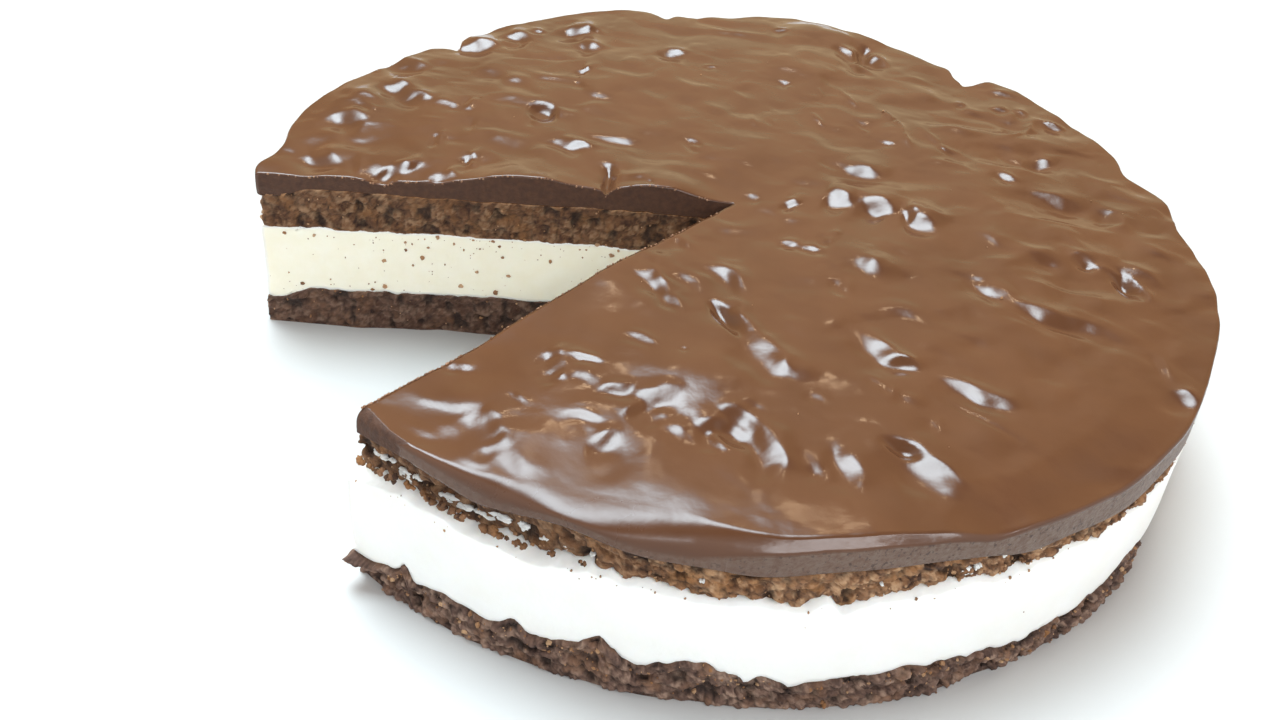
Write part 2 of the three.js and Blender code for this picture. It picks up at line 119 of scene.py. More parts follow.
# Ragged lower edge of the upper sponge: angle, half width, millimetres up
TOP_EDGE_SWELLS = [
    (-118, 5, 1), (-98, 4.5, 2.6), (-79, 3, -1.6), (-76, 0.8, 2.6), (-74, 1.4, -1.6), (-65, 4, 1.6),
    (-52, 5, 1.2), (-45, 1.4, -2), (-36, 3, -1.4), (-20, 3, 2), (-5, 2.5, -2.5), (15, 3, 1.6),
    (37, 4, -2.4), (61, 3, 1.8), (78, 3, -2), (101, 4, 2.2), (124, 3, -2.6), (146, 4, 2),
    (166, 3, -2.2), (180, 3, 1.2),
]

# Bulges and hollows of the cream, of the lower sponge's foot and of its torn upper edge:
# angle, half width, millimetres outwards
CREAM_SWELLS = [(-125, 5, 3.2)]
FOOT_SWELLS = [(-19, 9, -3.5)]
TORN_SWELLS = [(-125, 3, 2.4), (-19, 9, -2.6)]

# Torn upper edge of the lower sponge: angle, half width, millimetres up
BOTTOM_EDGE_SWELLS = [
    (-118.7, 0.9, 3.6), (-115, 3, 1), (-105.8, 1, 3.4), (-101, 2, 2), (-97, 1.8, 6.2), (-91, 1, 1),
    (-87.5, 3.2, 4.6), (-82.3, 0.7, -1.6), (-80.5, 0.9, 1), (-78, 1.8, -2), (-52, 6, -2.4),
    (-44, 2.5, -2), (-34, 2.4, 1), (-20, 8, -5.4), (-2, 3, -1.6), (14, 3, 4.4), (30, 4, -3),
    (44, 2.4, 5.4), (62, 4, -2.6), (80, 3, 3.8), (97, 3, -4), (111, 2.4, 5.6), (131, 4, -2.8),
    (147, 3, 4.2), (164, 3, -3.4), (178, 3, 3),
]

# Slopes that the spatula left in the glaze, between a ridge on the left of the heading and
# a hollow on its right: middle x and y, heading, length, width, drop and, where the line is
# bent, how far its middle bows to the left
SPATULA_MARKS = [
    # front
    (-16.5, -45.5, -52, 22, 4, 1.6), (-0.5, -40, -52, 20, 4.5, 1.7, 3), (5.5, -56, -62, 22, 3.6, 1.9),
    (13, -70, -56, 20, 6.5, 2.6), (-30, -80.8, -4, 13, 2.4, 1, 1.2), (-10.5, -90, 10, 13, 5, 1.5),
    (12, -101, -68, 24, 4.6, 2.2, 3), (32, -102.5, -78, 18, 4.5, 1.6), (50, -98.5, -42, 21, 6.5, 2.5),
    (40.5, -59, -48, 20, 4.5, 1.8, -1.5), (62.5, -70.5, -18, 25, 4.2, 1.7),
    (-20, -105, 14, 9, 4.6, 1.3), (112, -59, -35, 9, 5, 1.8), (-37, -116, -40, 14, 3.6, 0.6),
    # left
    (-105, 39.5, -25, 12, 6, 2.8), (-99.5, 34.5, -25, 11, 5.5, 2.5), (-88, 32.5, -6, 14, 3, 0.6),
    (-113.5, 28, -20, 13, 6, 2.4), (-114.5, 18, -15, 13, 5.5, 2.2), (-106.5, 57, -25, 14, 6.5, 2.9),
    (-115, -5, -30, 13, 6.5, 2.8), (-93, -7.5, -35, 7, 7, 2.8), (-79, -7, -30, 6, 5, 1.9),
    (-48.5, 18.5, -30, 12, 5.5, 2.4), (-35, 4, -78, 19, 2.6, 1.2),
    # back
    (-90, 77.5, -15, 14, 7, 3.4), (-77.5, 88, -25, 12, 5.5, 2.7), (-60.3, 98, -25, 12, 8, 3.8),
    (-54.5, 86, -35, 12, 5, 2.2), (-26.8, 89.2, -20, 9, 5, 2.2), (30.5, 107, -52, 13, 4, 2.2),
    (34, 97, -62, 14, 3.6, 2.1), (40, 106, -44, 14, 4, 2.4), (7, 117, -20, 7, 2.6, 1.3),
    (66, 64.5, 183, 36, 4.6, 1.3, 1), (82, 43.5, 184, 26, 4, 1, 1), (61, 36.5, 172, 22, 3.6, 1, -3),
    # middle
    (28.1, 7.8, -20, 9, 5.5, 2.2), (39.5, 5.8, -28, 9, 5, 2.1), (51, 0.5, -30, 11, 4.6, 2),
    (33, 25, -12, 20, 6, 1.6), (-14.3, 28.3, -50, 10, 2.6, 1.3),
    # right
    (67.5, -26.5, -40, 15, 4.4, 1.5), (85, -33.8, -8, 32, 5, 2.3, -1.5), (108.5, -9, -40, 15, 5, 1.9),
    (106.5, -14.5, -66, 14, 3, 2.8, 1.5), (106, 20, -115, 12, 4.5, 1.9), (92, 24.5, -5, 18, 6, 2.3),
    (89.5, 48.5, -25, 8, 4.6, 2), (85, 71, -80, 10, 5, 1.4), (77, 33.5, -48, 9, 3, 1.4),
    (96.3, 73.7, -15, 8, 3, 1.4),
]

# Rounded swells and hollows in the glaze: x, y, heading, length, width, height, and how
# steep the walls are
GLAZE_SWELLS = [
    (-52, -121, -5, 26, 26, -1.1, 1.4), (-24, -110, -10, 20, 22, -0.7, 1.5),
    (-56, -106.5, -8, 22, 14, -1.1, 1.5), (-55, -79, 55, 46, 24, -1.9, 1.2),
    (-60.5, 35.5, 90, 9, 8, -1.9, 1.6), (18, 103, 85, 52, 28, 1.4, 2.5), (93, -14, 0, 34, 14, -1.1, 2),
    (91, 20, 0, 34, 16, -1.1, 2), (80, 48, 0, 36, 13, -1.1, 2), (66, 70.5, 0, 48, 17, -1.4, 2),
    (29.5, 11.5, -75, 14, 13, 1.5, 1.3), (41.5, 11.5, -80, 14, 12, 1.6, 1.3),
    (52, 6, -70, 14, 11, 1.5, 1.3), (37.5, -20.5, -60, 12, 10, 1.2, 1.3),
    (35.5, 109, 80, 12, 4.5, -1.6, 1.5), (-2, -80, 0, 26, 18, 0.9, 1.2),
    (34, 34, -10, 32, 18, 0.8, 1.2), (-116, 26, -70, 26, 18, 1.5, 1.2), (-57, -7, 0, 30, 22, 2.3, 1.5),
    (-21, 1, 0, 22, 20, 2.5, 1.5), (-88, -16, -86, 22, 22, -1.6, 1.2), (66, 92, -35, 26, 20, -1.2, 1.2),
    (70, -100, 30, 40, 24, -0.5, 1.2), (16, 122, 0, 44, 18, 1.2, 1.2),
]

# Thin crests, where one stroke ends against another: middle x and y, heading, length,
# width, height and, where the crest is bent, its bow to the left
CRESTS = [
    (-106, 17, 24, 28, 2, 0.2), (80, -38, -19, 24, 2, 0.35, -1), (88, -21.5, -7, 26, 2, 0.35),
    (89, 12.5, 0, 32, 2, 0.35), (103.5, -12, -52, 15, 1.6, 0.7, 2.5), (84, 66, 45, 15, 2.2, 1, -1),
    (88.3, 72, 75, 11, 2, 0.9), (95, 76, -18, 12, 1.8, 0.7), (57, 51.5, -60, 19, 2, 0.6),
    (44.5, 61, -60, 17, 2, 0.9), (48, 50, -78, 15, 2, 0.9), (31, 72, -63, 16, 1.6, 0.6),
    (1.8, 49, -75, 10, 1.6, 0.6), (21.5, 55, -62, 10, 1.8, 0.7), (34.5, 52.5, -48, 13, 1.5, 0.4),
    (21.7, 73.5, -72, 7, 1.5, 0.4), (-3, 64.5, -50, 8, 1.5, 0.4), (-35.5, -1, -86, 22, 2.6, -2.6),
    (62, -79, -32, 24, 2, -0.5), (-68, 72, 8, 28, 1.8, -0.4),
]

# Smaller slopes and pits, as above, too fine for the solids
FINE_MARKS = [
    (-11, -52.5, -62, 9, 3, 1.1), (-20, -35.5, -60, 9, 4, 1, 1), (-12, -25, -80, 8, 3, 0.9),
    (-8.5, -43, -70, 9, 4, 1), (-17.5, -70.5, -32, 10, 2.4, 0.9, 1), (-20, -88.5, 20, 8, 2.4, 0.8),
    (3.5, -100, -80, 8, 2.4, 1), (26.5, -105.5, -75, 7, 3, 0.9), (24, -101, -70, 6, 3, 0.6),
    (44.5, -63.5, -15, 8, 2.6, 1.2), (41.7, -73.5, -80, 4, 2, 0.6), (46, -77, -60, 6, 3, 0.7),
    (51.5, -84, -70, 7, 3, 0.6), (24.5, -80.5, -60, 5, 2.4, 0.6), (38, -71, -30, 5, 2, 0.5),
    (-25.5, -99.8, 3, 12, 1.6, 0.45, 0.8), (-57, -100.3, -4, 17, 1.8, 0.25),
    (-61, -109.5, -22, 14, 2.4, 0.4), (-47, -117.6, 0, 10, 2.4, 0.4), (36, -24.5, -40, 8, 4, 1.2),
    (-29, -84.5, -30, 7, 3, 0.45), (-21, -89, 25, 10, 1.8, 0.5), (-15, -95, 50, 7, 3, 1.1),
    (-41, -96, -60, 5, 2, 0.6), (-57.5, -86, -50, 5, 3, 0.9), (-86.4, 14.5, -30, 2.4, 2.6, 1.1),
    (-86, 12, -30, 2.4, 2.6, 1.1), (-86.2, 9.8, -30, 2.4, 2.6, 1.1), (-80, 82, 30, 7, 3.5, 1.6),
    (-74, 93.5, -20, 6, 3.5, 1.7), (15.6, 3, -25, 5, 4, 1.6), (-75, 3.5, -25, 4, 4, 1.6),
    (-74.7, -1, -25, 4, 4, 1.6), (48.3, 5, -25, 5, 4, 1.7), (-46.5, -103.5, -40, 7, 4, 1),
    (-44, -107.5, -45, 6, 3.4, 0.8), (-42.8, -111.5, -35, 4, 4, 0.9), (-9.5, -96, -30, 5, 3.6, 1.1),
    (-5.5, -99, -30, 5, 3, 0.8), (1.8, -95.5, 15, 7, 3.4, 1.2), (6.5, -91, 20, 7, 3.2, 1.1),
    (10.5, -87.3, 25, 5, 2, 0.6), (-36.2, -79.5, -30, 4, 4, 1.3), (-35, -83.5, -30, 5, 4.5, 1.5),
    (-33.8, -87.5, -35, 4, 3.4, 1.1), (108.8, -48, -80, 12, 3, 0.8), (-78.3, 22.5, -86, 8, 2, 0.6),
    (-62, 29, -70, 7, 1.8, 0.8), (-104.7, -7, -86, 11, 2, 0.6), (-53, 67, -25, 4, 4, 1.8),
    (-52.5, 56.5, -70, 7, 1.8, 0.5), (-14, 82.3, 5, 7, 1.8, 0.8), (-53, 99, -55, 6, 2, 0.6),
    (-110.5, 24, -40, 9, 2.4, 1), (-57, 37, -80, 6, 2, 0.8), (-83.5, 35, -100, 8, 2.4, 1),
    (10.5, 78.6, 0, 7, 1.8, 0.8), (11, 76, -80, 5, 1.8, 0.5), (4.5, 4.8, 5, 6, 3, 0.9),
    (15.5, -17, 5, 8, 2.4, 1.2), (21.5, -19, -10, 9, 3, 1.1), (26.5, -11, -25, 4, 3, 1.2),
    (25.8, -14.5, -25, 4, 3, 1.2), (29.8, -36, -80, 8, 2.4, 0.8), (-28, 1.5, 0, 8, 4, 0.7),
    (43, 45.5, -8, 6, 1.8, 0.6), (7, 57.6, -80, 4, 1.8, 0.5), (7.8, 48.5, -85, 5, 1.8, 0.5),
    (94.5, -4.5, -10, 7, 4, 1.3), (106, -16, -100, 13, 2.6, 1.2), (81, 48, -75, 8, 4, 0.6),
    (60, 45, -25, 9, 2, 0.6), (66.6, 81, -10, 4, 2.4, 1.1), (79, 81, -5, 6, 2.4, 1.2),
    (86, 80.5, -5, 6, 3.4, 1.6), (72, 15, -20, 6, 4, 0.5),
]
FINE_PITS = [
    (1.5, -55.5, -57, 13, 4, -1.6, 1.5), (44, -93.5, -15, 8, 3.6, -1.4, 1.5),
    (6.5, -97.5, -45, 8, 5, -1.2, 1.5), (95.6, -7.5, 0, 4, 3, -0.8, 1.5),
    (-14, 29, -50, 6, 2.4, -0.8, 1.5), (-7, -72, 0, 1.6, 1.6, -0.5, 1.5),
    (-24, -0.5, 0, 2, 2, -0.6, 1.5), (-39, 77.5, 0, 7, 7, 0.25, 3),
]

# Cream smeared over the upper sponge at the rim: angle, level, length and height
SMEARS = [
    (-122.6, 38, 3.6, 1.3), (-121, 38.6, 1.6, 1), (-119.2, 37.2, 4.6, 2.2), (-117.6, 38.4, 2, 1),
    (-114, 37, 4, 1.3), (-112.2, 36.2, 5, 1.4), (-110.2, 36, 4, 1.2), (-108.4, 37.2, 4.6, 1.8),
    (-105.8, 36.6, 2, 2.2), (-103.6, 36, 1.8, 1), (-101, 36.4, 1.6, 1.2), (-98.4, 37.6, 1, 0.6),
    (-88, 37, 0.9, 0.6), (-79.2, 41.6, 1.3, 0.8), (-71, 36.4, 0.8, 0.6), (-62.2, 36.6, 2.6, 2.2),
    (-61.2, 37.6, 1.2, 1.4), (-58.5, 39.2, 1.5, 1), (-54, 38, 1, 0.8), (-50, 40, 0.9, 0.9),
    (-44.5, 39.6, 1.4, 1), (-38, 40.6, 0.8, 0.8), (-24, 38, 1.8, 0.9), (8, 39, 2.2, 1.2),
    (31, 38, 1.6, 1), (52, 38.6, 3, 1.2), (88, 38, 2.6, 1.4), (118, 38.4, 1.8, 1), (149, 38, 2.8, 1.2),
    (171, 38.6, 1.6, 1),
]

# Where the rim of the glaze is torn and set with crumbs: from angle to angle
TORN_RIM = [(10, 30), (44, 68), (94, 112), (132, 165)]

# Crumbs of the upper sponge half buried in the cream under it: angle, level and radius
BURIED_CRUMBS = [
    (-123, 38.6, 1.6), (-121.4, 38, 2.1), (-119.8, 37.6, 1.7), (-117.5, 38, 1.6), (-115.6, 37.2, 1.9),
    (-113.4, 36.4, 2.3), (-111.8, 36.2, 1.6), (-108.6, 36.4, 2.2), (-107.2, 35.8, 1.9),
    (-105.4, 36, 1.5), (-102, 36.4, 1.3), (-99, 36.4, 1.1), (-56, 36, 0.8), (12, 33.2, 1),
    (70, 33.4, 1.2), (133, 32.6, 1),
]


def mix(a, b, t):
    return a + (b - a) * t


def smoothstep(t):
    c = np.clip(t, 0, 1)
    return c * c * (3 - 2 * c)


def plateau(value, middle, half_width):
    """1 round the middle and 0 far from it, with soft ends."""
    return np.exp(-(((value - middle) / half_width) ** 4))


def polar(r, deg):
    """x and y at a radius and an angle."""
    angle = np.radians(deg)
    return r * np.cos(angle), r * np.sin(angle)


def angle_of(x, y):
    """Angle of a point in degrees, running on past 180 up to the far cut."""
    deg = np.degrees(np.arctan2(y, x))
    return np.where(deg < NEAR_CUT - 20, deg + 360, deg)


# Repeatable unevenness

def hash3(i, j, k, seed):
    """A number from 0 to 1 for each point of a lattice."""
    s = np.sin(i * 127.1 + j * 311.7 + k * 74.7 + seed * 19.3) * 43758.5453
    return s - np.floor(s)


def lattice(i, j):
    return 2 * hash3(i, j, 0, 0) - 1


def noise(x, y):
    """Smooth unevenness over a plane, between -1 and 1."""
    i, j = np.floor(x), np.floor(y)
    u, v = smoothstep(x - i), smoothstep(y - j)
    low = mix(lattice(i, j), lattice(i + 1, j), u)
    high = mix(lattice(i, j + 1), lattice(i + 1, j + 1), u)
    return mix(low, high, v)


def noise3(points, size, seed):
    """Smooth unevenness in space, between -1 and 1."""
    p = points / size
    i, j, k = np.floor(p).T
    u, v, w = smoothstep(p - np.floor(p)).T
    total = 0
    for a, b, c in np.ndindex(2, 2, 2):
        weight = (u if a else 1 - u) * (v if b else 1 - v) * (w if c else 1 - w)
        total = total + weight * hash3(i + a, j + b, k + c, seed)
    return 2 * total - 1


def cells(points, size, seed):
    """Distances to the nearest and the second nearest grain centre, in grain sizes, and a
    number from 0 to 1 that each grain has for itself."""
    p = points / size
    base = np.floor(p)
    nearest = second = np.full(len(p), 9.0)
    own = np.zeros(len(p))
    for step in np.ndindex(3, 3, 3):
        cell = base + np.array(step) - 1
        i, j, k = cell.T
        centre = cell + np.stack([hash3(i, j, k, seed + n) for n in range(3)], 1)
        gap = np.linalg.norm(p - centre, axis=1)
        second = np.minimum(second, np.maximum(nearest, gap))
        own = np.where(gap < nearest, hash3(i, j, k, seed + 5), own)
        nearest = np.minimum(nearest, gap)
    return nearest, second, own


# Outline of each layer at the rim, by angle

def rim_noise(deg, wave, row):
    return noise(np.radians(deg) * CAKE_RADIUS / wave, row)


def swell(swells, deg):
    total = 0
    for angle, half_width, amount in swells:
        away = (deg - angle + 540) % 360 - 180
        total = total + amount * np.exp(-((away / half_width) ** 2))
    return total


def rim_radius(deg):
    return CAKE_RADIUS + 0.7 * rim_noise(deg, 17, 3.5) + swell(RIM_SWELLS, deg)


def glaze_rounding(deg):
    return GLAZE_ROUNDING + swell(ROUNDING_SWELLS, deg) + 0.3 * rim_noise(deg, 30, 8.5)


def lip_level(deg):
    return GLAZE_LIP + 0.8 * rim_noise(deg, 14, 12.5) + swell(LIP_SWELLS, deg)


def top_sponge_edge(deg):
    ragged = 0.7 * rim_noise(deg, 2.6, 17.5) + 0.45 * rim_noise(deg, 1.1, 18.5)
    return TOP_SPONGE_EDGE + 1.1 * rim_noise(deg, 7, 16.5) + swell(TOP_EDGE_SWELLS, deg) + ragged


def bottom_sponge_edge(deg):
    ragged = 0.9 * rim_noise(deg, 2.8, 21.5) + 0.5 * rim_noise(deg, 1.2, 22.5)
    edge = BOTTOM_SPONGE_EDGE + 1.1 * rim_noise(deg, 8, 20.5) + swell(BOTTOM_EDGE_SWELLS, deg)
    return np.maximum(THINNEST_EDGE, edge) + ragged


def sponge_radius(deg):
    return np.maximum(rim_radius(deg), CAKE_RADIUS - 4) - SPONGE_INSET - swell(SPONGE_HOLLOWS, deg)


def cream_radius(deg):
    return CAKE_RADIUS + CREAM_BULGE + 0.5 * rim_noise(deg, 40, 24.5) + swell(CREAM_SWELLS, deg)


def base_radius(deg):
    return CAKE_RADIUS + BASE_FLARE + 0.8 * rim_noise(deg, 11, 28.5) + swell(FOOT_SWELLS, deg)


def torn_radius(deg):
    return cream_radius(deg) + 0.5 + 0.8 * rim_noise(deg, 6, 36.5) + swell(TORN_SWELLS, deg)


def glaze_joint(deg):
    return np.minimum(rim_radius(deg) - 2.2, sponge_radius(deg) - 0.6)


def cream_top_joint(deg):
    return np.minimum(sponge_radius(deg), cream_radius(deg)) - JOINT_INSET


def cream_bottom_joint(deg):
    return cream_radius(deg) - JOINT_INSET


# Glaze surface

def turned(x, y, heading):
    """How far along a heading and to the left of it a point lies."""
    c, s = math.cos(math.radians(heading)), math.sin(math.radians(heading))
    return x * c + y * s, y * c - x * s


def stroke_frame(mark, x, y):
    """Place along a stroke, from -1 to 1, and across it to the left, in widths."""
    mx, my, heading, length, width, _, *bow = mark
    along, across = turned(x - mx, y - my, heading)
    along = np.clip(2 * along / length, -1, 1)
    return along, (across - sum(bow) * (1 - along ** 2)) / width


def mark_height(mark, x, y):
    along, across = stroke_frame(mark, x, y)
    t = 1.4 * across
    ridge = mix(np.exp(-((t - 0.75) ** 2)), np.exp(-1.6 * np.abs(t - 0.75)), 0.5)
    return (1 - along ** 2) ** 1.3 * mark[5] / 2 * (ridge - np.exp(-((t + 0.75) ** 2)))


def crest_height(mark, x, y):
    along, across = stroke_frame(mark, x, y)
    return (1 - along ** 2) * mark[5] * np.exp(-2.2 * np.abs(across))


def swell_height(bump, x, y):
    mx, my, heading, length, width, height, steepness = bump
    along, across = turned(x - mx, y - my, heading)
    return height * np.exp(-(((2 * along / length) ** 2 + (2 * across / width) ** 2) ** steepness))


def glaze_top(x, y):
    """Level of the glaze, spread by hand and left uneven."""
    out = np.hypot(x, y) / CAKE_RADIUS
    z = mix(GLAZE_MIDDLE_TOP, GLAZE_RIM_TOP, smoothstep((out - 0.55) / 0.45))
    z = z + 0.75 * noise(x / 34, y / 34) + 0.3 * noise(x / 13 + 40, y / 13)
    sway_x = x + 2.5 * noise(x / 9, y / 9 + 30)
    sway_y = y + 2.5 * noise(x / 9 + 30, y / 9)
    ripple = noise(sway_x / 9, sway_y / 6 + 80) + 0.16 * noise(sway_x / 3, sway_y / 2.4 + 90)
    z = z + mix(FRONT_RIPPLES, BACK_RIPPLES, smoothstep((y + 80) / 60)) * ripple
    z = z - swell(RIM_FALLS, angle_of(x, y)) * smoothstep((out - 0.89) / 0.11)
    warped_x = x + noise(x / MARK_WARP, y / MARK_WARP + 60)
    warped_y = y + noise(x / MARK_WARP + 60, y / MARK_WARP)
    for mark in SPATULA_MARKS + FINE_MARKS:
        z = z + mark_height(mark, warped_x, warped_y)
    for bump in GLAZE_SWELLS + FINE_PITS:
        z = z + swell_height(bump, x, y)
    for crest in CRESTS:
        z = z + crest_height(crest, x, y)
    return z


def layer_level(inside, unevenness, seed, rim_level, joint, ragged):
    """Level of the surface between two layers, which turns to its own level at the rim."""
    def level(x, y):
        deg = angle_of(x, y)
        turn = smoothstep((np.hypot(x, y) / joint(deg) - LAYER_TURNS_AT) / (1 - LAYER_TURNS_AT))
        flat = inside + unevenness * noise(x / 26 + seed, y / 26)
        flat = flat + ragged * (noise(x / 3, y / 3 + seed) + 0.5 * noise(x / 1.2, y / 1.2 + seed))
        return mix(flat, rim_level(deg), turn)
    return level


glaze_on_sponge = layer_level(GLAZE_BOTTOM, 0.6, 50, lambda deg: lip_level(deg) + 0.7, glaze_joint, 0.25)
sponge_on_cream = layer_level(CREAM_TOP, 0.7, 60, top_sponge_edge, cream_top_joint, 0.45)
cream_on_sponge = layer_level(CREAM_BOTTOM, 0.7, 70, bottom_sponge_edge, cream_bottom_joint, 0.45)


# Cut faces: how far into the cake their unevenness fades, the relief of the sponges' cut
# crumb, and the waviness of the knife's stroke
CUT_REACH = 30
CUT_CRUMB = 1.3
KNIFE_WAVE = 0.5


def cut_unevenness(cut, r, z):
    """How far a cut face stands off its plane: most where the knife tore a sponge's crumb."""
    crumb = CUT_CRUMB * np.maximum(plateau(z, 39.5, 4.5), plateau(z, 6, 6)) * noise(r / 6 + cut, z / 4)
    return (KNIFE_WAVE * noise(r / 30 + cut, z / 40) + crumb) * smoothstep(r / 12)


def place(r, deg, z):
    """Points at a radius, an angle and a level, shifted sideways near the uneven cuts."""
    r, deg, z = np.broadcast_arrays(*(np.asarray(v, float) for v in (r, deg, z)))
    angle = np.radians(deg)
    from_near = r * np.radians(deg - NEAR_CUT)
    from_far = r * np.radians(FAR_CUT - deg)
    shift = cut_unevenness(NEAR_CUT, r, z) * np.maximum(0, 1 - from_near / CUT_REACH)
    shift = shift - cut_unevenness(FAR_CUT, r, z) * np.maximum(0, 1 - from_far / CUT_REACH)
    x = r * np.cos(angle) - shift * np.sin(angle)
    y = r * np.sin(angle) + shift * np.cos(angle)
    return np.stack([x, y, z], 1)


# Kinds of surface on a layer
HIDDEN, TOP, SIDE, CUT = range(4)


class LayerBody:
    """One layer of the cake as a closed mesh, made of rows of points."""

    def __init__(self):
        self.points = []
        self.kinds = []
        self.triangles = []
        self.count = 0

    def row(self, r, deg, z, kind):
        points = place(np.atleast_1d(r), deg, z)
        self.points.append(points)
        self.kinds.append(np.full(len(points), kind))
        self.count += len(points)
        return np.arange(self.count - len(points), self.count)

    def strip(self, a, b, flip):
        """Triangles between two rows that may have different numbers of points."""
        steps_a, steps_b = len(a) - 1, len(b) - 1
        keys = np.concatenate([np.arange(1, steps_b + 1) / max(1, steps_b),
                               np.arange(1, steps_a + 1) / max(1, steps_a)])
        on_b = (np.arange(len(keys)) < steps_b)[np.argsort(keys, kind="stable")]
        at_b = np.cumsum(on_b) - on_b
        at_a = np.cumsum(~on_b) - ~on_b
        corner = np.where(on_b, b[np.minimum(at_b + 1, steps_b)], a[np.minimum(at_a + 1, steps_a)])
        order = [a[at_a], corner, b[at_b]] if flip else [a[at_a], b[at_b], corner]
        self.triangles.append(np.stack(order, 1))

    def face(self, shares, counts, edge, level, kind, flip):
        """An upper or lower face, of rings round the axis out to edge(deg)."""
        rows = [self.row(0, NEAR_CUT, level(0, 0), kind)]
        for share, count in zip(shares, counts):
            deg = np.linspace(NEAR_CUT, FAR_CUT, count + 1)
            r = share * edge(deg)
            rows.append(self.row(r, deg, level(*polar(r, deg)), kind))
            self.strip(rows[-2], rows[-1], flip)
        return rows

    def finish(self):
        self.points = np.concatenate(self.points)
        self.kinds = np.concatenate(self.kinds)
        self.triangles = np.concatenate(self.triangles)


def make_layer(top, bottom, side, side_rows, columns, cut_step):
    """A layer between two faces. side(deg, share) gives the radius and height of its rim,
    from the top at share 0 to the bottom at share 1."""
    body = LayerBody()
    upper = body.face(**top, flip=False)
    lower = body.face(**bottom, flip=True)
    deg = np.linspace(NEAR_CUT, FAR_CUT, columns + 1)
    shares = np.arange(1, side_rows + 1) / (side_rows + 1)
    between = []
    for share in shares:
        r, z = side(deg, share)
        between.append(body.row(r, deg, z, SIDE))
    rows = [upper[-1], *between, lower[-1]]
    for above, below in zip(rows, rows[1:]):
        body.strip(above, below, False)
    body.side_grid, body.side_shares = np.array(between), shares
    axis_top, axis_bottom = top["level"](0, 0), bottom["level"](0, 0)
    axis = [body.row(0, NEAR_CUT, mix(axis_top, axis_bottom, share), CUT) for share in shares]
    points_across = round(CAKE_RADIUS / cut_step)
    across = np.arange(1, points_across) / points_across
    for end, cut in ((0, NEAR_CUT), (-1, FAR_CUT)):
        cut_rows = [np.array([ring[end] for ring in upper])]
        for k, share in enumerate(shares):
            side_r, side_z = side(cut, share)
            r = across * side_r
            x, y = polar(r, cut)
            level = mix(top["level"](x, y), bottom["level"](x, y), share)
            turn = smoothstep((across - LAYER_TURNS_AT) / (1 - LAYER_TURNS_AT))
            inner = body.row(r, cut, mix(level, side_z, turn), CUT)
            cut_rows.append(np.concatenate([axis[k], inner, between[k][[end]]]))
        cut_rows.append(np.array([ring[end] for ring in lower]))
        for above, below in zip(cut_rows, cut_rows[1:]):
            body.strip(above, below, end == -1)
    body.finish()
    return body


def hidden_face(edge, level, columns, step):
    """A face between two layers: fine along the radius, because its ends show at the cuts."""
    shares = np.arange(1, round(CAKE_RADIUS / step)) * step / CAKE_RADIUS
    counts = [24 if share < 0.88 else 200 for share in shares]
    return dict(shares=[*shares, 1], counts=[*counts, columns], edge=edge, level=level, kind=HIDDEN)


# Mesh helpers

def vertex_normals(body):
    a, b, c = (body.points[body.triangles[:, n]] for n in range(3))
    face = np.cross(b - a, c - a)
    normals = np.zeros_like(body.points)
    for n in range(3):
        np.add.at(normals, body.triangles[:, n], face)
    return normals / np.maximum(np.linalg.norm(normals, axis=1, keepdims=True), 1e-9)


def make_object(name, body, material, attributes):
    """A piece of the cake. attributes holds a number for each point, by name."""
    mesh = bpy.data.meshes.new(name)
    mesh.from_pydata((body.points * MM).tolist(), [], body.triangles.tolist())
    mesh.shade_smooth()
    mesh.validate()
    for key, values in attributes.items():
        layer = mesh.attributes.new(key, "FLOAT", "POINT")
        layer.data.foreach_set("value", values.astype(np.float32))
    mesh.materials.append(material)
    piece = bpy.data.objects.new(name, mesh)
    bpy.context.scene.collection.objects.link(piece)
    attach(piece, "root")
    return piece


# Materials

class NodeTree:
    """Short ways to add nodes to a tree."""

    def __init__(self, tree):
        self.tree = tree

    def add(self, kind, inputs=None, **settings):
        node = self.tree.nodes.new(kind)
        for key, value in settings.items():
            setattr(node, key, value)
        for key, value in (inputs or {}).items():
            self.put(node.inputs[key], value)
        return node

    def put(self, socket, value):
        if isinstance(value, bpy.types.NodeSocket):
            self.tree.links.new(value, socket)
        else:
            socket.default_value = value

    def math(self, operation, a, b):
        return self.add("ShaderNodeMath", {0: a, 1: b}, operation=operation).outputs[0]

    def blend(self, factor, a, b):
        node = self.add("ShaderNodeMix", data_type="RGBA")
        self.put(node.inputs["Factor"], factor)
        self.put(node.inputs["A"], a)
        self.put(node.inputs["B"], b)
        return node.outputs["Result"]


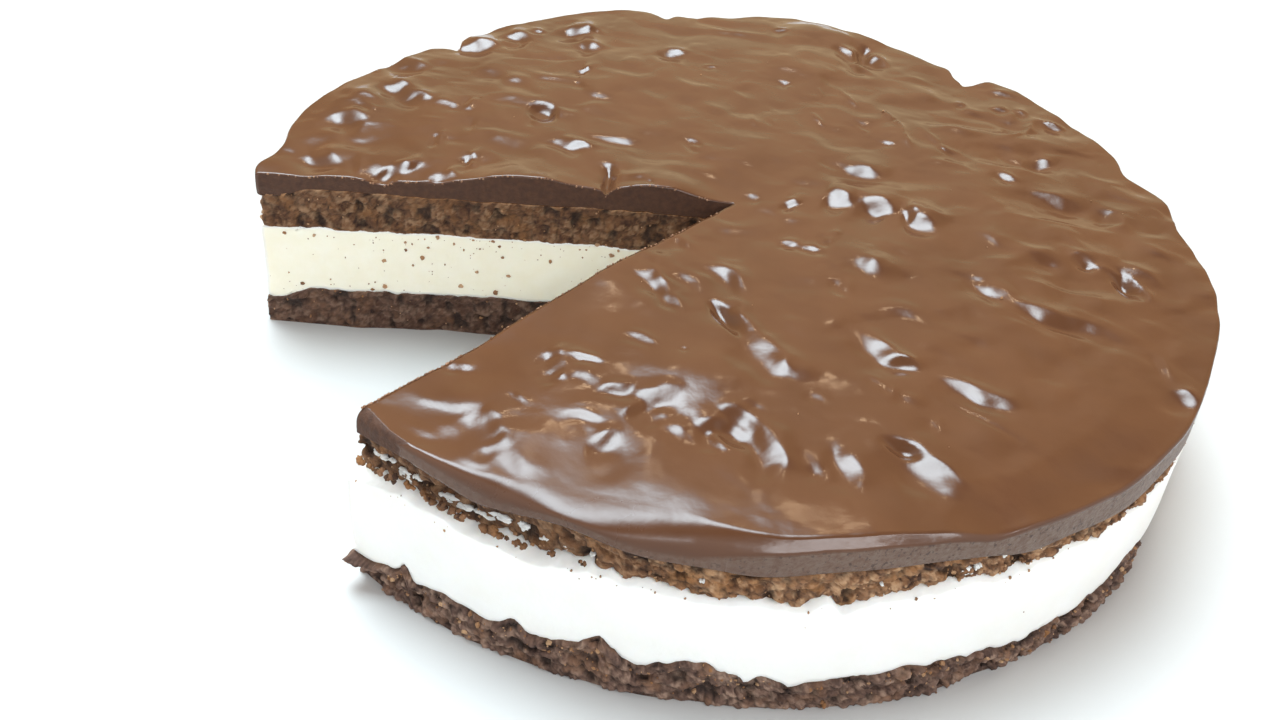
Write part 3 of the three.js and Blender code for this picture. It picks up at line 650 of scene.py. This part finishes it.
class Shader(NodeTree):
    """A material with a principled shader."""

    def __init__(self, name):
        self.material = bpy.data.materials.new(name)
        self.material.use_nodes = True
        super().__init__(self.material.node_tree)
        self.tree.nodes.clear()
        self.bsdf = self.add("ShaderNodeBsdfPrincipled")
        self.add("ShaderNodeOutputMaterial", {"Surface": self.bsdf.outputs[0]})
        self.place = self.add("ShaderNodeTexCoord").outputs["Object"]

    def set(self, **inputs):
        for key, value in inputs.items():
            self.put(self.bsdf.inputs[key.replace("_", " ")], value)

    def noise(self, size_mm, detail=3, roughness=0.55):
        inputs = {"Vector": self.place, "Scale": 1 / (size_mm * MM), "Detail": detail,
                  "Roughness": roughness}
        return self.add("ShaderNodeTexNoise", inputs).outputs["Fac"]

    def grains(self, size_mm):
        inputs = {"Vector": self.place, "Scale": 1 / (size_mm * MM)}
        return self.add("ShaderNodeTexVoronoi", inputs).outputs["Distance"]

    def attribute(self, name):
        return self.add("ShaderNodeAttribute", attribute_name=name).outputs["Fac"]

    def ramp(self, value, low, high, to_low=0, to_high=1):
        inputs = {"Value": value, "From Min": low, "From Max": high, "To Min": to_low,
                  "To Max": to_high}
        return self.add("ShaderNodeMapRange", inputs).outputs["Result"]

    def patches(self, size_mm, detail=3, low=0, high=1):
        """Soft patches, from low to high."""
        return self.ramp(self.noise(size_mm, detail), 0.3, 0.7, low, high)

    def bump(self, height, distance_mm, strength=1, before=None):
        inputs = {"Height": height, "Distance": distance_mm * MM, "Strength": strength}
        if before is not None:
            inputs["Normal"] = before
        return self.add("ShaderNodeBump", inputs).outputs["Normal"]


def rgb(red, green, blue):
    return (red, green, blue, 1)


def glaze_material():
    """Set chocolate glaze: glossy on top, matte and darker where it was cut or torn."""
    s = Shader("chocolate_glaze")
    cut = s.attribute("matte")
    glossy = s.blend(s.patches(22), rgb(0.081, 0.0315, 0.014), rgb(0.099, 0.0395, 0.0175))
    broken = s.blend(s.patches(1.5, 5), rgb(0.05, 0.018, 0.008), rgb(0.085, 0.033, 0.014))
    scuffed = s.attribute("scuffed")
    streaks = s.math("MULTIPLY", scuffed, s.ramp(s.noise(1.6, 5, 0.65), 0.36, 0.6, 0.25, 1))
    glossy = s.blend(streaks, glossy, rgb(0.15, 0.1, 0.074))
    pits = s.math("MULTIPLY", scuffed, s.ramp(s.noise(1.2, 3), 0.58, 0.66))
    glossy = s.blend(pits, glossy, rgb(0.045, 0.018, 0.01))
    s.set(Base_Color=s.blend(cut, glossy, broken))
    sheen = s.ramp(s.noise(9, 4), 0.25, 0.75, 0.12, 0.2)
    sheen = s.math("ADD", sheen, s.math("MULTIPLY", s.attribute("hazy"), 0.11))
    dull = s.math("MAXIMUM", s.math("MULTIPLY", cut, 0.7), s.math("MULTIPLY", scuffed, 0.45))
    s.set(Roughness=s.math("MAXIMUM", sheen, dull))
    s.set(IOR=1.47)
    ripple = s.bump(s.noise(2.6, 2), 0.05)
    grain, grainy = s.noise(0.8, 3), s.math("MAXIMUM", cut, s.math("MULTIPLY", scuffed, 0.7))
    s.set(Normal=s.bump(grain, 0.35, grainy, ripple))
    return s.material


def chip_material():
    """Light, dull chips of glaze."""
    s = Shader("glaze_chips")
    s.set(Base_Color=s.blend(s.attribute("tone"), rgb(0.13, 0.05, 0.02), rgb(0.36, 0.19, 0.1)))
    s.set(Roughness=s.patches(1, low=0.5, high=0.75))
    s.set(Normal=s.bump(s.noise(0.3), 0.1))
    return s.material


def sponge_material(name, dark, middle, light, warm):
    """Cocoa sponge with an open crumb. Every lump has its own tone, and painted shade darkens the holes
    of the crumb.
    """
    s = Shader(name)
    tone = s.math("ADD", s.math("MULTIPLY", s.attribute("tone"), 0.75),
                  s.math("MULTIPLY", s.noise(1.1, 4, 0.7), 0.5))
    crumb = s.blend(s.ramp(tone, 0.3, 0.62), dark, middle)
    crumb = s.blend(s.ramp(tone, 0.62, 0.95), crumb, light)
    patch = s.ramp(s.noise(6, 3), 0.5, 0.68)
    crumb = s.blend(s.math("MULTIPLY", patch, 0.75), crumb, warm)
    # Darker on the cut faces; through the same mask, painted shade on the rim under the glaze near the
    # corner
    crumb = s.blend(s.math("MULTIPLY", s.attribute("cut"), 0.5), crumb, rgb(0.07, 0.025, 0.009))
    # Painted shade: points deep in the crumb's holes and cracks are darkened nearly to black
    crumb = s.blend(s.math("MULTIPLY", s.attribute("pore_shade"), 0.85), crumb, rgb(0.014, 0.007, 0.005))
    s.set(Base_Color=crumb)
    s.set(Roughness=s.patches(2.5, low=0.7, high=0.92))
    s.bsdf.inputs["Specular IOR Level"].default_value = 0.4
    fine = s.bump(s.noise(0.5, 4, 0.7), 0.3)
    s.set(Normal=s.bump(s.grains(0.7), 0.2, 1, fine))
    return s.material


def cream_material():
    """Whipped cream filling, white where the tin smoothed it, with painted warm shade, a yellower and
    darker white, where it was cut.
    """
    s = Shader("cream_filling")
    cut = s.attribute("cut")
    outside = s.blend(s.patches(14), rgb(0.9, 0.89, 0.84), rgb(0.93, 0.93, 0.9))
    # Painted shade: the cut faces get a warmer, darker cream in place of the warm shaded light on them
    inside = s.blend(s.patches(5), rgb(0.9, 0.85, 0.68), rgb(0.92, 0.88, 0.74))
    s.set(Base_Color=s.blend(cut, outside, inside))
    s.set(Roughness=s.patches(6, low=0.42, high=0.55))
    s.set(Subsurface_Weight=0.25, Subsurface_Radius=(0.006, 0.005, 0.004), Subsurface_Scale=0.5)
    s.set(Normal=s.bump(s.noise(3.5, 4), 0.25))
    return s.material


def floor_material():
    s = Shader("pale_floor")
    s.set(Base_Color=s.blend(s.noise(60), rgb(0.56, 0.555, 0.54), rgb(0.58, 0.575, 0.56)))
    s.set(Roughness=0.6)
    return s.material


# Layers

def crumb_relief(points, seed):
    """Relief of a torn sponge in millimetres outwards, how deep in a hole of the crumb each point is,
    which darkens it as painted shade, and how light its lump of crumb is."""
    sway = np.stack([noise3(points, 2.9, seed + n) for n in (21, 22, 23)], 1)
    warped = points + 0.9 * sway
    big, _, _ = cells(warped, 5.2, seed)
    lump, lump_next, lump_tone = cells(warped, 2.3, seed + 7)
    grain, _, grain_tone = cells(points, 0.95, seed + 13)
    hole = smoothstep((noise3(points, 2.7, seed + 31) - 0.22) / 0.35)
    crack = np.clip(1 - (lump_next - lump) / 0.2, 0, 1)
    relief = 1.1 * (0.62 - big) + 0.95 * (0.6 - lump) + 0.38 * (0.5 - grain)
    relief = relief - 1.3 * hole - 0.3 * crack
    pore_shade = np.clip(0.85 * hole + 0.45 * crack + 0.8 * (lump - 0.5) + 0.7 * (grain - 0.5), 0, 1)
    return relief, pore_shade, 0.55 * lump_tone + 0.45 * grain_tone


def roughen(body, seed, rim_amount):
    """Moves a sponge's rim and cut faces by the relief of its crumb."""
    normals = vertex_normals(body)
    relief, pore_shade, tone = crumb_relief(body.points, seed)
    shown = np.isin(body.kinds, (SIDE, CUT))
    amount = np.where(body.kinds == SIDE, rim_amount, 0.62) * shown
    body.points = body.points + normals * (relief * amount)[:, None]
    body.points[:, 2] = np.maximum(body.points[:, 2], 0)
    return {"pore_shade": pore_shade * shown, "tone": tone, "cut": body.kinds == CUT}


def glaze_piece():
    columns = round(RIM_LENGTH / GLAZE_STEP)
    round_ends, side_ends = 0.45, 0.8

    def top_edge(deg):
        return rim_radius(deg) - glaze_rounding(deg)

    def side(deg, share):
        rounding = glaze_rounding(deg)
        r = top_edge(deg)
        level = glaze_top(*polar(r, deg))
        lip = lip_level(deg)
        drop = np.minimum(rounding, level - lip - LEAST_SIDE)
        if share <= round_ends:
            along = share / round_ends
            turn = along * math.pi / 2
            flat = plateau(deg, BEVEL_MIDDLE, BEVEL_SPREAD)
            out, down = mix(np.sin(turn), along, flat), mix(1 - np.cos(turn), along, flat)
            return r + rounding * out, level - drop * down
        if share <= side_ends:
            down = (share - round_ends) / (side_ends - round_ends)
            return rim_radius(deg) + 0.2 * down, mix(level - drop, lip + 1, down)
        under = (share - side_ends) / (1 - side_ends) * math.pi / 2
        out = rim_radius(deg) + 0.2
        return mix(out, glaze_joint(deg) + 0.6, 1 - np.cos(under)), lip + 1 - np.sin(under)

    rings = round(CAKE_RADIUS / GLAZE_STEP)
    shares = np.arange(1, rings + 1) / rings
    counts = [max(4, round(RIM_LENGTH * share / GLAZE_STEP)) for share in shares]
    top = dict(shares=shares, counts=counts, edge=top_edge, level=glaze_top, kind=TOP)
    bottom = hidden_face(glaze_joint, glaze_on_sponge, columns, 2)
    body = make_layer(top, bottom, side, 16, columns, 0.9)
    deg = angle_of(body.points[:, 0], body.points[:, 1])
    corner = smoothstep((CORNER_END + 0.8 * noise(body.points[:, 2], 5.5) - deg) / 0.8)
    matte = np.where(body.kinds == SIDE, corner, body.kinds == CUT)
    scuffed = np.zeros(body.count)
    for row, share in zip(body.side_grid, body.side_shares):
        below_shoulder = smoothstep((share - 0.42) / 0.06) * smoothstep((0.97 - share) / 0.1)
        scuffed[row] = below_shoulder * mix(0.35, 1, plateau(deg[row], -45, 42))
    out = np.hypot(body.points[:, 0], body.points[:, 1])
    hazy = smoothstep((out - 106) / 16) * plateau(deg, -100, 15)
    piece = make_object("glaze_coat", body, glaze_material(),
                        {"matte": matte, "scuffed": scuffed, "hazy": hazy})
    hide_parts("chocolate_glaze")
    return body


def groove(deg, share, middle, row):
    """A horizontal crack that comes and goes round a sponge's rim, from 0 to 1."""
    height = middle + 0.14 * rim_noise(deg, 11, row)
    there = smoothstep(0.55 + 0.9 * rim_noise(deg, 9, row + 1))
    return there * np.exp(-(((share - height) / 0.09) ** 2))


def top_sponge_piece(material):
    columns = round(RIM_LENGTH / SPONGE_STEP)

    def side(deg, share):
        lip, edge = lip_level(deg), top_sponge_edge(deg)
        inner = np.minimum(glaze_joint(deg) + 0.3, sponge_radius(deg))
        r = mix(inner, sponge_radius(deg) + 0.5, smoothstep(share / 0.3))
        r = r - 1.3 * groove(deg, share, 0.55, 40.5)
        tuck = np.clip((share - 0.9) / 0.1, 0, 1) ** 2
        return mix(r, cream_top_joint(deg), tuck * 0.5), mix(lip + 0.3, edge, share)

    top = hidden_face(glaze_joint, glaze_on_sponge, columns, 0.8)
    bottom = hidden_face(cream_top_joint, sponge_on_cream, columns, 0.8)
    body = make_layer(top, bottom, side, 24, columns, 0.5)
    attributes = roughen(body, 1, 0.85)
    # Painted shade: near the corner the rim under the glaze lip is darkened as much as the cut faces
    deg = angle_of(body.points[:, 0], body.points[:, 1])
    painted_shade_under_glaze = (body.kinds == SIDE) * plateau(deg, -110, 16)
    # The cut mask now also carries this painted shade
    attributes["cut"] = np.maximum(attributes["cut"], painted_shade_under_glaze)
    piece = make_object("upper_sponge_crumb", body, material, attributes)
    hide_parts("top_sponge")
    return body


def cream_piece(material):
    columns = round(RIM_LENGTH / CREAM_STEP)

    def side(deg, share):
        z = mix(top_sponge_edge(deg) + 0.4, bottom_sponge_edge(deg) - 0.4, share)
        wave = 0.3 * noise(np.radians(deg) * CAKE_RADIUS / 19, z / 11)
        return cream_radius(deg) + wave - 0.35 * (share < 0.03), z

    top = hidden_face(cream_top_joint, lambda x, y: sponge_on_cream(x, y) + 0.1, columns, 0.9)
    bottom = hidden_face(cream_bottom_joint, lambda x, y: cream_on_sponge(x, y) - 0.1, columns, 0.9)
    body = make_layer(top, bottom, side, 22, columns, 0.9)
    piece = make_object("cream_layer", body, material, {"cut": body.kinds == CUT})
    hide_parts("cream_filling")
    return body


def bottom_sponge_piece(material):
    columns = round(RIM_LENGTH / SPONGE_STEP)

    def side(deg, share):
        edge = bottom_sponge_edge(deg)
        out = mix(torn_radius(deg), base_radius(deg), smoothstep(share / 0.6))
        out = out - 1.6 * groove(deg, share, 0.36, 42.5) - 0.8 * groove(deg, share, 0.7, 46.5)
        rounded = np.clip(1 - share / 0.08, 0, 1) ** 2
        return mix(out, cream_bottom_joint(deg), rounded * 0.7), mix(edge, 0, share)

    top = hidden_face(cream_bottom_joint, cream_on_sponge, columns, 0.8)
    bottom = hidden_face(lambda deg: base_radius(deg) - 0.5, lambda x, y: 0 * x, columns, 0.8)
    body = make_layer(top, bottom, side, 24, columns, 0.5)
    attributes = roughen(body, 2, 1)
    piece = make_object("lower_sponge_crumb", body, material, attributes)
    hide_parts("bottom_sponge")
    return body


# Crumbs and smears

def unit_ball():
    """An icosahedron with each face split into four, of radius 1."""
    g = (1 + math.sqrt(5)) / 2
    corners = [(s, g * t, 0) for s in (-1, 1) for t in (-1, 1)]
    corners = np.array([np.roll(c, turn) for turn in range(3) for c in corners], float)
    gaps = np.linalg.norm(corners[:, None] - corners[None], axis=2)
    near = np.isclose(gaps, 2)
    points = [tuple(c) for c in corners / np.linalg.norm(corners[0])]
    middles = {}

    def middle(i, j):
        key = (min(i, j), max(i, j))
        if key not in middles:
            m = np.add(points[i], points[j])
            points.append(tuple(m / np.linalg.norm(m)))
            middles[key] = len(points) - 1
        return middles[key]

    triangles = []
    for i, j, k in combinations(range(12), 3):
        if near[i, j] and near[j, k] and near[i, k]:
            a, b, c = (i, j, k) if np.linalg.det(corners[[i, j, k]]) > 0 else (i, k, j)
            ab, bc, ca = middle(a, b), middle(b, c), middle(c, a)
            triangles += [(a, ab, ca), (b, bc, ab), (c, ca, bc), (ab, bc, ca)]
    return np.array(points), np.array(triangles)


def scatter(name, centres, axes, tones, material, seed):
    """Irregular lumps. axes holds three half axes in millimetres for each lump."""
    rng = np.random.default_rng(seed)
    ball, faces = unit_ball()
    count = len(centres)
    uneven = rng.uniform(0.68, 1.25, (count, len(ball)))
    turn = np.linalg.qr(rng.normal(size=(count, 3, 3)))[0]
    lumps = np.einsum("vi,nij->nvj", ball, turn) * uneven[:, :, None]
    points = centres[:, None] + np.einsum("nvi,nij->nvj", lumps, axes)
    mirrored = (np.linalg.det(turn) * np.linalg.det(axes) < 0)[:, None, None]
    triangles = faces[None] + (np.arange(count) * len(ball))[:, None, None]
    triangles = np.where(mirrored, triangles[:, :, ::-1], triangles)
    body = SimpleNamespace(points=points.reshape(-1, 3), triangles=triangles.reshape(-1, 3))
    body.points[:, 2] = np.maximum(body.points[:, 2], 0)
    tone = np.repeat(tones, len(ball)) + 0.1 * (uneven.ravel() - 1)
    make_object(name, body, material, {"tone": tone})


def rim_axes(deg, length, height, depth):
    """Half axes along the rim, upwards and out of it."""
    a = np.radians(deg)
    along = np.stack([-np.sin(a), np.cos(a), 0 * a], 1) * (length / 2)[:, None]
    up = np.stack([0 * a, 0 * a, height / 2], 1)
    out = np.stack([np.cos(a), np.sin(a), 0 * a], 1) * depth
    return np.stack([along, up, out], 1)


def cluster(rng, rows, count):
    """Breaks each row of angle, level and sizes up into smaller lumps round the same place."""
    rows = np.repeat(np.array(rows), count, axis=0)
    reach = rows[:, 2] * (0.42 if rows.shape[1] > 3 else 0.75)
    deg = rows[:, 0] + np.degrees(rng.uniform(-1, 1, len(rows)) * reach / CAKE_RADIUS)
    level = rows[:, 1] + rng.uniform(-1, 1, len(rows)) * rows[:, -1] * 0.4
    shrink = rng.uniform(0.35, 0.85, len(rows))
    return [deg, level, *(rows[:, 2:] * shrink[:, None]).T]


def sponge_crumbs(upper, lower, cream_body, glaze_body, material):
    """Crumbs on the cuts, on the rims of both sponges, on the glaze and in the cream."""
    rng = np.random.default_rng(5)
    centres, sizes = [], []

    def add(body, shown, weights, count, small, large, sunk):
        """Crumbs of radius small to large, each sunk by a share of its width."""
        where = np.flatnonzero(shown)
        weights = np.broadcast_to(weights, len(shown))[where]
        picks = rng.choice(where, count, replace=False, p=weights / weights.sum())
        radius = small * (large / small) ** rng.random(count) ** 2.2
        outwards = vertex_normals(body)[picks] * (radius * (1 - 2 * sunk))[:, None]
        centres.append(body.points[picks] + outwards)
        sizes.append(radius)

    z = cream_body.points[:, 2]
    by_sponge = np.exp(-np.abs(CREAM_TOP - z) / 3.5) + 0.6 * np.exp(-np.abs(z - CREAM_BOTTOM) / 2)
    add(cream_body, cream_body.kinds == CUT, by_sponge, 260, 0.12, 0.9, 0.55)
    add(cream_body, cream_body.kinds == CUT, 1, 150, 0.1, 0.4, 0.55)
    add(cream_body, cream_body.kinds == SIDE, np.exp(-np.abs(34 - z) / 1.2) + 1e-4, 110, 0.1, 0.4, 0.6)
    for body, edge in ((upper, 34), (lower, 9)):
        z = body.points[:, 2]
        add(body, body.kinds == SIDE, np.exp(-np.abs(z - edge) / 1.5), 420, 0.2, 0.75, 0.55)
        add(body, body.kinds != HIDDEN, 1, 330, 0.2, 0.8, 0.5)
    add(glaze_body, glaze_body.kinds == TOP, 1, 16, 0.15, 0.4, 0.4)
    deg, level, radius = cluster(rng, BURIED_CRUMBS, 7)
    centres.append(place(cream_radius(deg) - 0.35 * radius, deg, level))
    sizes.append(0.62 * radius)
    centres, sizes = np.concatenate(centres), np.concatenate(sizes)
    axes = sizes[:, None, None] * np.eye(3) * rng.uniform(0.6, 1.25, (len(sizes), 3, 1))
    tones = rng.uniform(0.35, 0.95, len(sizes))
    tones[-len(deg):] -= 0.4
    scatter("sponge_crumbs", centres, axes, tones, material, 6)


def cream_smears(material):
    """Cream dragged over the upper sponge at the rim."""
    deg, level, length, height = cluster(np.random.default_rng(7), SMEARS, 6)
    centres = place(sponge_radius(deg) + 0.1, deg, level)
    axes = rim_axes(deg, length, height, 0.7)
    scatter("cream_smears", centres, axes, 0 * deg, material, 8)


def glaze_crumbs():
    """Chips of glaze along the edges of the cuts and where the rim is torn."""
    rng = np.random.default_rng(9)
    centres = []
    counts = {NEAR_CUT: 210, FAR_CUT: 90}
    for cut, count in counts.items():
        r = rng.uniform(6, 128.5, count)
        if cut == NEAR_CUT:
            r[:90] = rng.uniform(100, 128.5, 90)
        centres.append(place(r, cut, glaze_top(*polar(r, cut)) - rng.uniform(0, 0.3, count)))
    sizes = rng.uniform(0.12, 0.34, sum(counts.values()))
    for first, last in TORN_RIM:
        deg = rng.uniform(first, last, round(3 * (last - first)))
        level = mix(lip_level(deg), GLAZE_RIM_TOP - 1.5, rng.random(len(deg)) ** 0.4)
        centres.append(place(rim_radius(deg), deg, level))
        sizes = np.append(sizes, rng.uniform(0.25, 0.75, len(deg)))
    centres = np.concatenate(centres)
    axes = sizes[:, None, None] * np.eye(3)
    scatter("glaze_crumbs", centres, axes, rng.random(len(sizes)), chip_material(), 10)


# Room

# Radiance of the room. Each later part is blended in round its own direction, between two
# cosines of the angle from it. The last two are the haze round the window and the window.
ROOM_FRONT = (0.98, 1, 1.02)
WINDOW = (-0.215, 0.307, 0.927)
ROOM_PARTS = [
    ((0, 1, 0), -0.1, 0.6, (0.85, 0.52, 0.27)),
    ((0, 1, 0.1), 0.86, 0.99, (0.97, 0.78, 0.47)),
    ((0, 0.76, 0.65), 0.92, 0.995, (1.28, 0.84, 0.5)),
    ((0, 0, 1), 0.72, 0.9, (0.12, 0.09, 0.08)),
    (WINDOW, 0.9, 0.97, (4.8, 5.6, 6.1)),
    (WINDOW, 0.94, 0.99, (14, 16.5, 18)),
]

# The point that the lights face, and the photograph's view, in metres, degrees and pixels
LIGHTS_AIM = (0, 0, 0.05)
CAMERA_PLACE = (0, -0.32314, 0.24151)
YAW, PITCH, ROLL = -3.819, 37.613, 5.94
FOCAL_LENGTH = 1350
FRAME_WIDTH = 1280
SENSOR_WIDTH_MM = 36


def add_object(name, data, right, up, back, position):
    """A light or camera that looks along its own -Z, in metres."""
    added = bpy.data.objects.new(name, data)
    axes = np.stack([right, up, back, position], 1)
    added.matrix_world = Matrix([*axes.tolist(), [0, 0, 0, 1]])
    bpy.context.scene.collection.objects.link(added)
    return added


def make_floor():
    size = 4
    mesh = bpy.data.meshes.new("floor")
    corners = [(-size, -size, 0), (size, -size, 0), (size, size, 0), (-size, size, 0)]
    mesh.from_pydata(corners, [], [(0, 1, 2, 3)])
    mesh.materials.append(floor_material())
    floor = bpy.data.objects.new("floor", mesh)
    bpy.context.scene.collection.objects.link(floor)


def area_light(name, azimuth, elevation, distance, size, radiance, color):
    """A rectangular light that faces the cake. Azimuth is anticlockwise from +X."""
    light = bpy.data.lights.new(name, "AREA")
    light.shape = "RECTANGLE"
    light.size, light.size_y = size
    light.energy = radiance * math.pi * size[0] * size[1]
    light.color = color
    a, e = math.radians(azimuth), math.radians(elevation)
    away = np.array([math.cos(a) * math.cos(e), math.sin(a) * math.cos(e), math.sin(e)])
    right = np.array([-math.sin(a), math.cos(a), 0])
    add_object(name, light, right, np.cross(away, right), away, away * distance + LIGHTS_AIM)


def make_world():
    """A pale room: white in front, warm behind and dim overhead. A wide soft window high up at
    the back left gives the glaze its highlights."""
    world = bpy.data.worlds.new("pale_room")
    bpy.context.scene.world = world
    world.use_nodes = True
    room = NodeTree(world.node_tree)
    direction = room.add("ShaderNodeTexCoord").outputs["Generated"]
    color = rgb(*ROOM_FRONT)
    for toward, low, high, end in ROOM_PARTS:
        toward_it = room.add("ShaderNodeVectorMath", {0: direction, 1: toward}, operation="DOT_PRODUCT")
        inputs = {"Value": toward_it.outputs["Value"], "From Min": low, "From Max": high}
        ease = room.add("ShaderNodeMapRange", inputs, interpolation_type="SMOOTHSTEP")
        color = room.blend(ease.outputs["Result"], color, rgb(*end))
    room.put(room.tree.nodes["Background"].inputs["Color"], color)


def make_lights():
    make_world()
    area_light("front_window", -54, 40, distance=1.3, size=(1.1, 0.19), radiance=8, color=(0.93, 0.96, 1))
    for azimuth, elevation in ((80, 50), (99, 47)):
        area_light("warm_lamp", azimuth, elevation, distance=1.6, size=(0.07, 0.035), radiance=40,
                   color=(1, 0.72, 0.45))
    bpy.context.scene.view_settings.view_transform = "Standard"


def make_camera():
    yaw, pitch, roll = (math.radians(turn) for turn in (YAW, PITCH, ROLL))
    camera = bpy.data.cameras.new("photo_view")
    camera.sensor_width = SENSOR_WIDTH_MM
    camera.lens = SENSOR_WIDTH_MM * FOCAL_LENGTH / FRAME_WIDTH
    ahead = np.array([math.sin(yaw) * math.cos(pitch), math.cos(yaw) * math.cos(pitch), -math.sin(pitch)])
    right = np.cross(ahead, [0, 0, 1])
    right /= np.linalg.norm(right)
    up = np.cross(right, ahead)
    turned_right = math.cos(roll) * right + math.sin(roll) * up
    turned_up = math.cos(roll) * up - math.sin(roll) * right
    viewer = add_object("photo_view", camera, turned_right, turned_up, -ahead, CAMERA_PLACE)
    bpy.context.scene.camera = viewer


sponge_dark = sponge_material("lower_sponge", rgb(0.05, 0.025, 0.018), rgb(0.17, 0.097, 0.07),
                              rgb(0.38, 0.25, 0.18), rgb(0.24, 0.12, 0.065))
sponge_light = sponge_material("upper_sponge", rgb(0.06, 0.025, 0.012), rgb(0.27, 0.13, 0.06),
                               rgb(0.55, 0.34, 0.19), rgb(0.37, 0.17, 0.06))
cream = cream_material()
glaze_body = glaze_piece()
upper_body = top_sponge_piece(sponge_light)
cream_body = cream_piece(cream)
lower_body = bottom_sponge_piece(sponge_dark)
sponge_crumbs(upper_body, lower_body, cream_body, glaze_body, sponge_light)
cream_smears(cream)
glaze_crumbs()
make_floor()
make_lights()
make_camera()
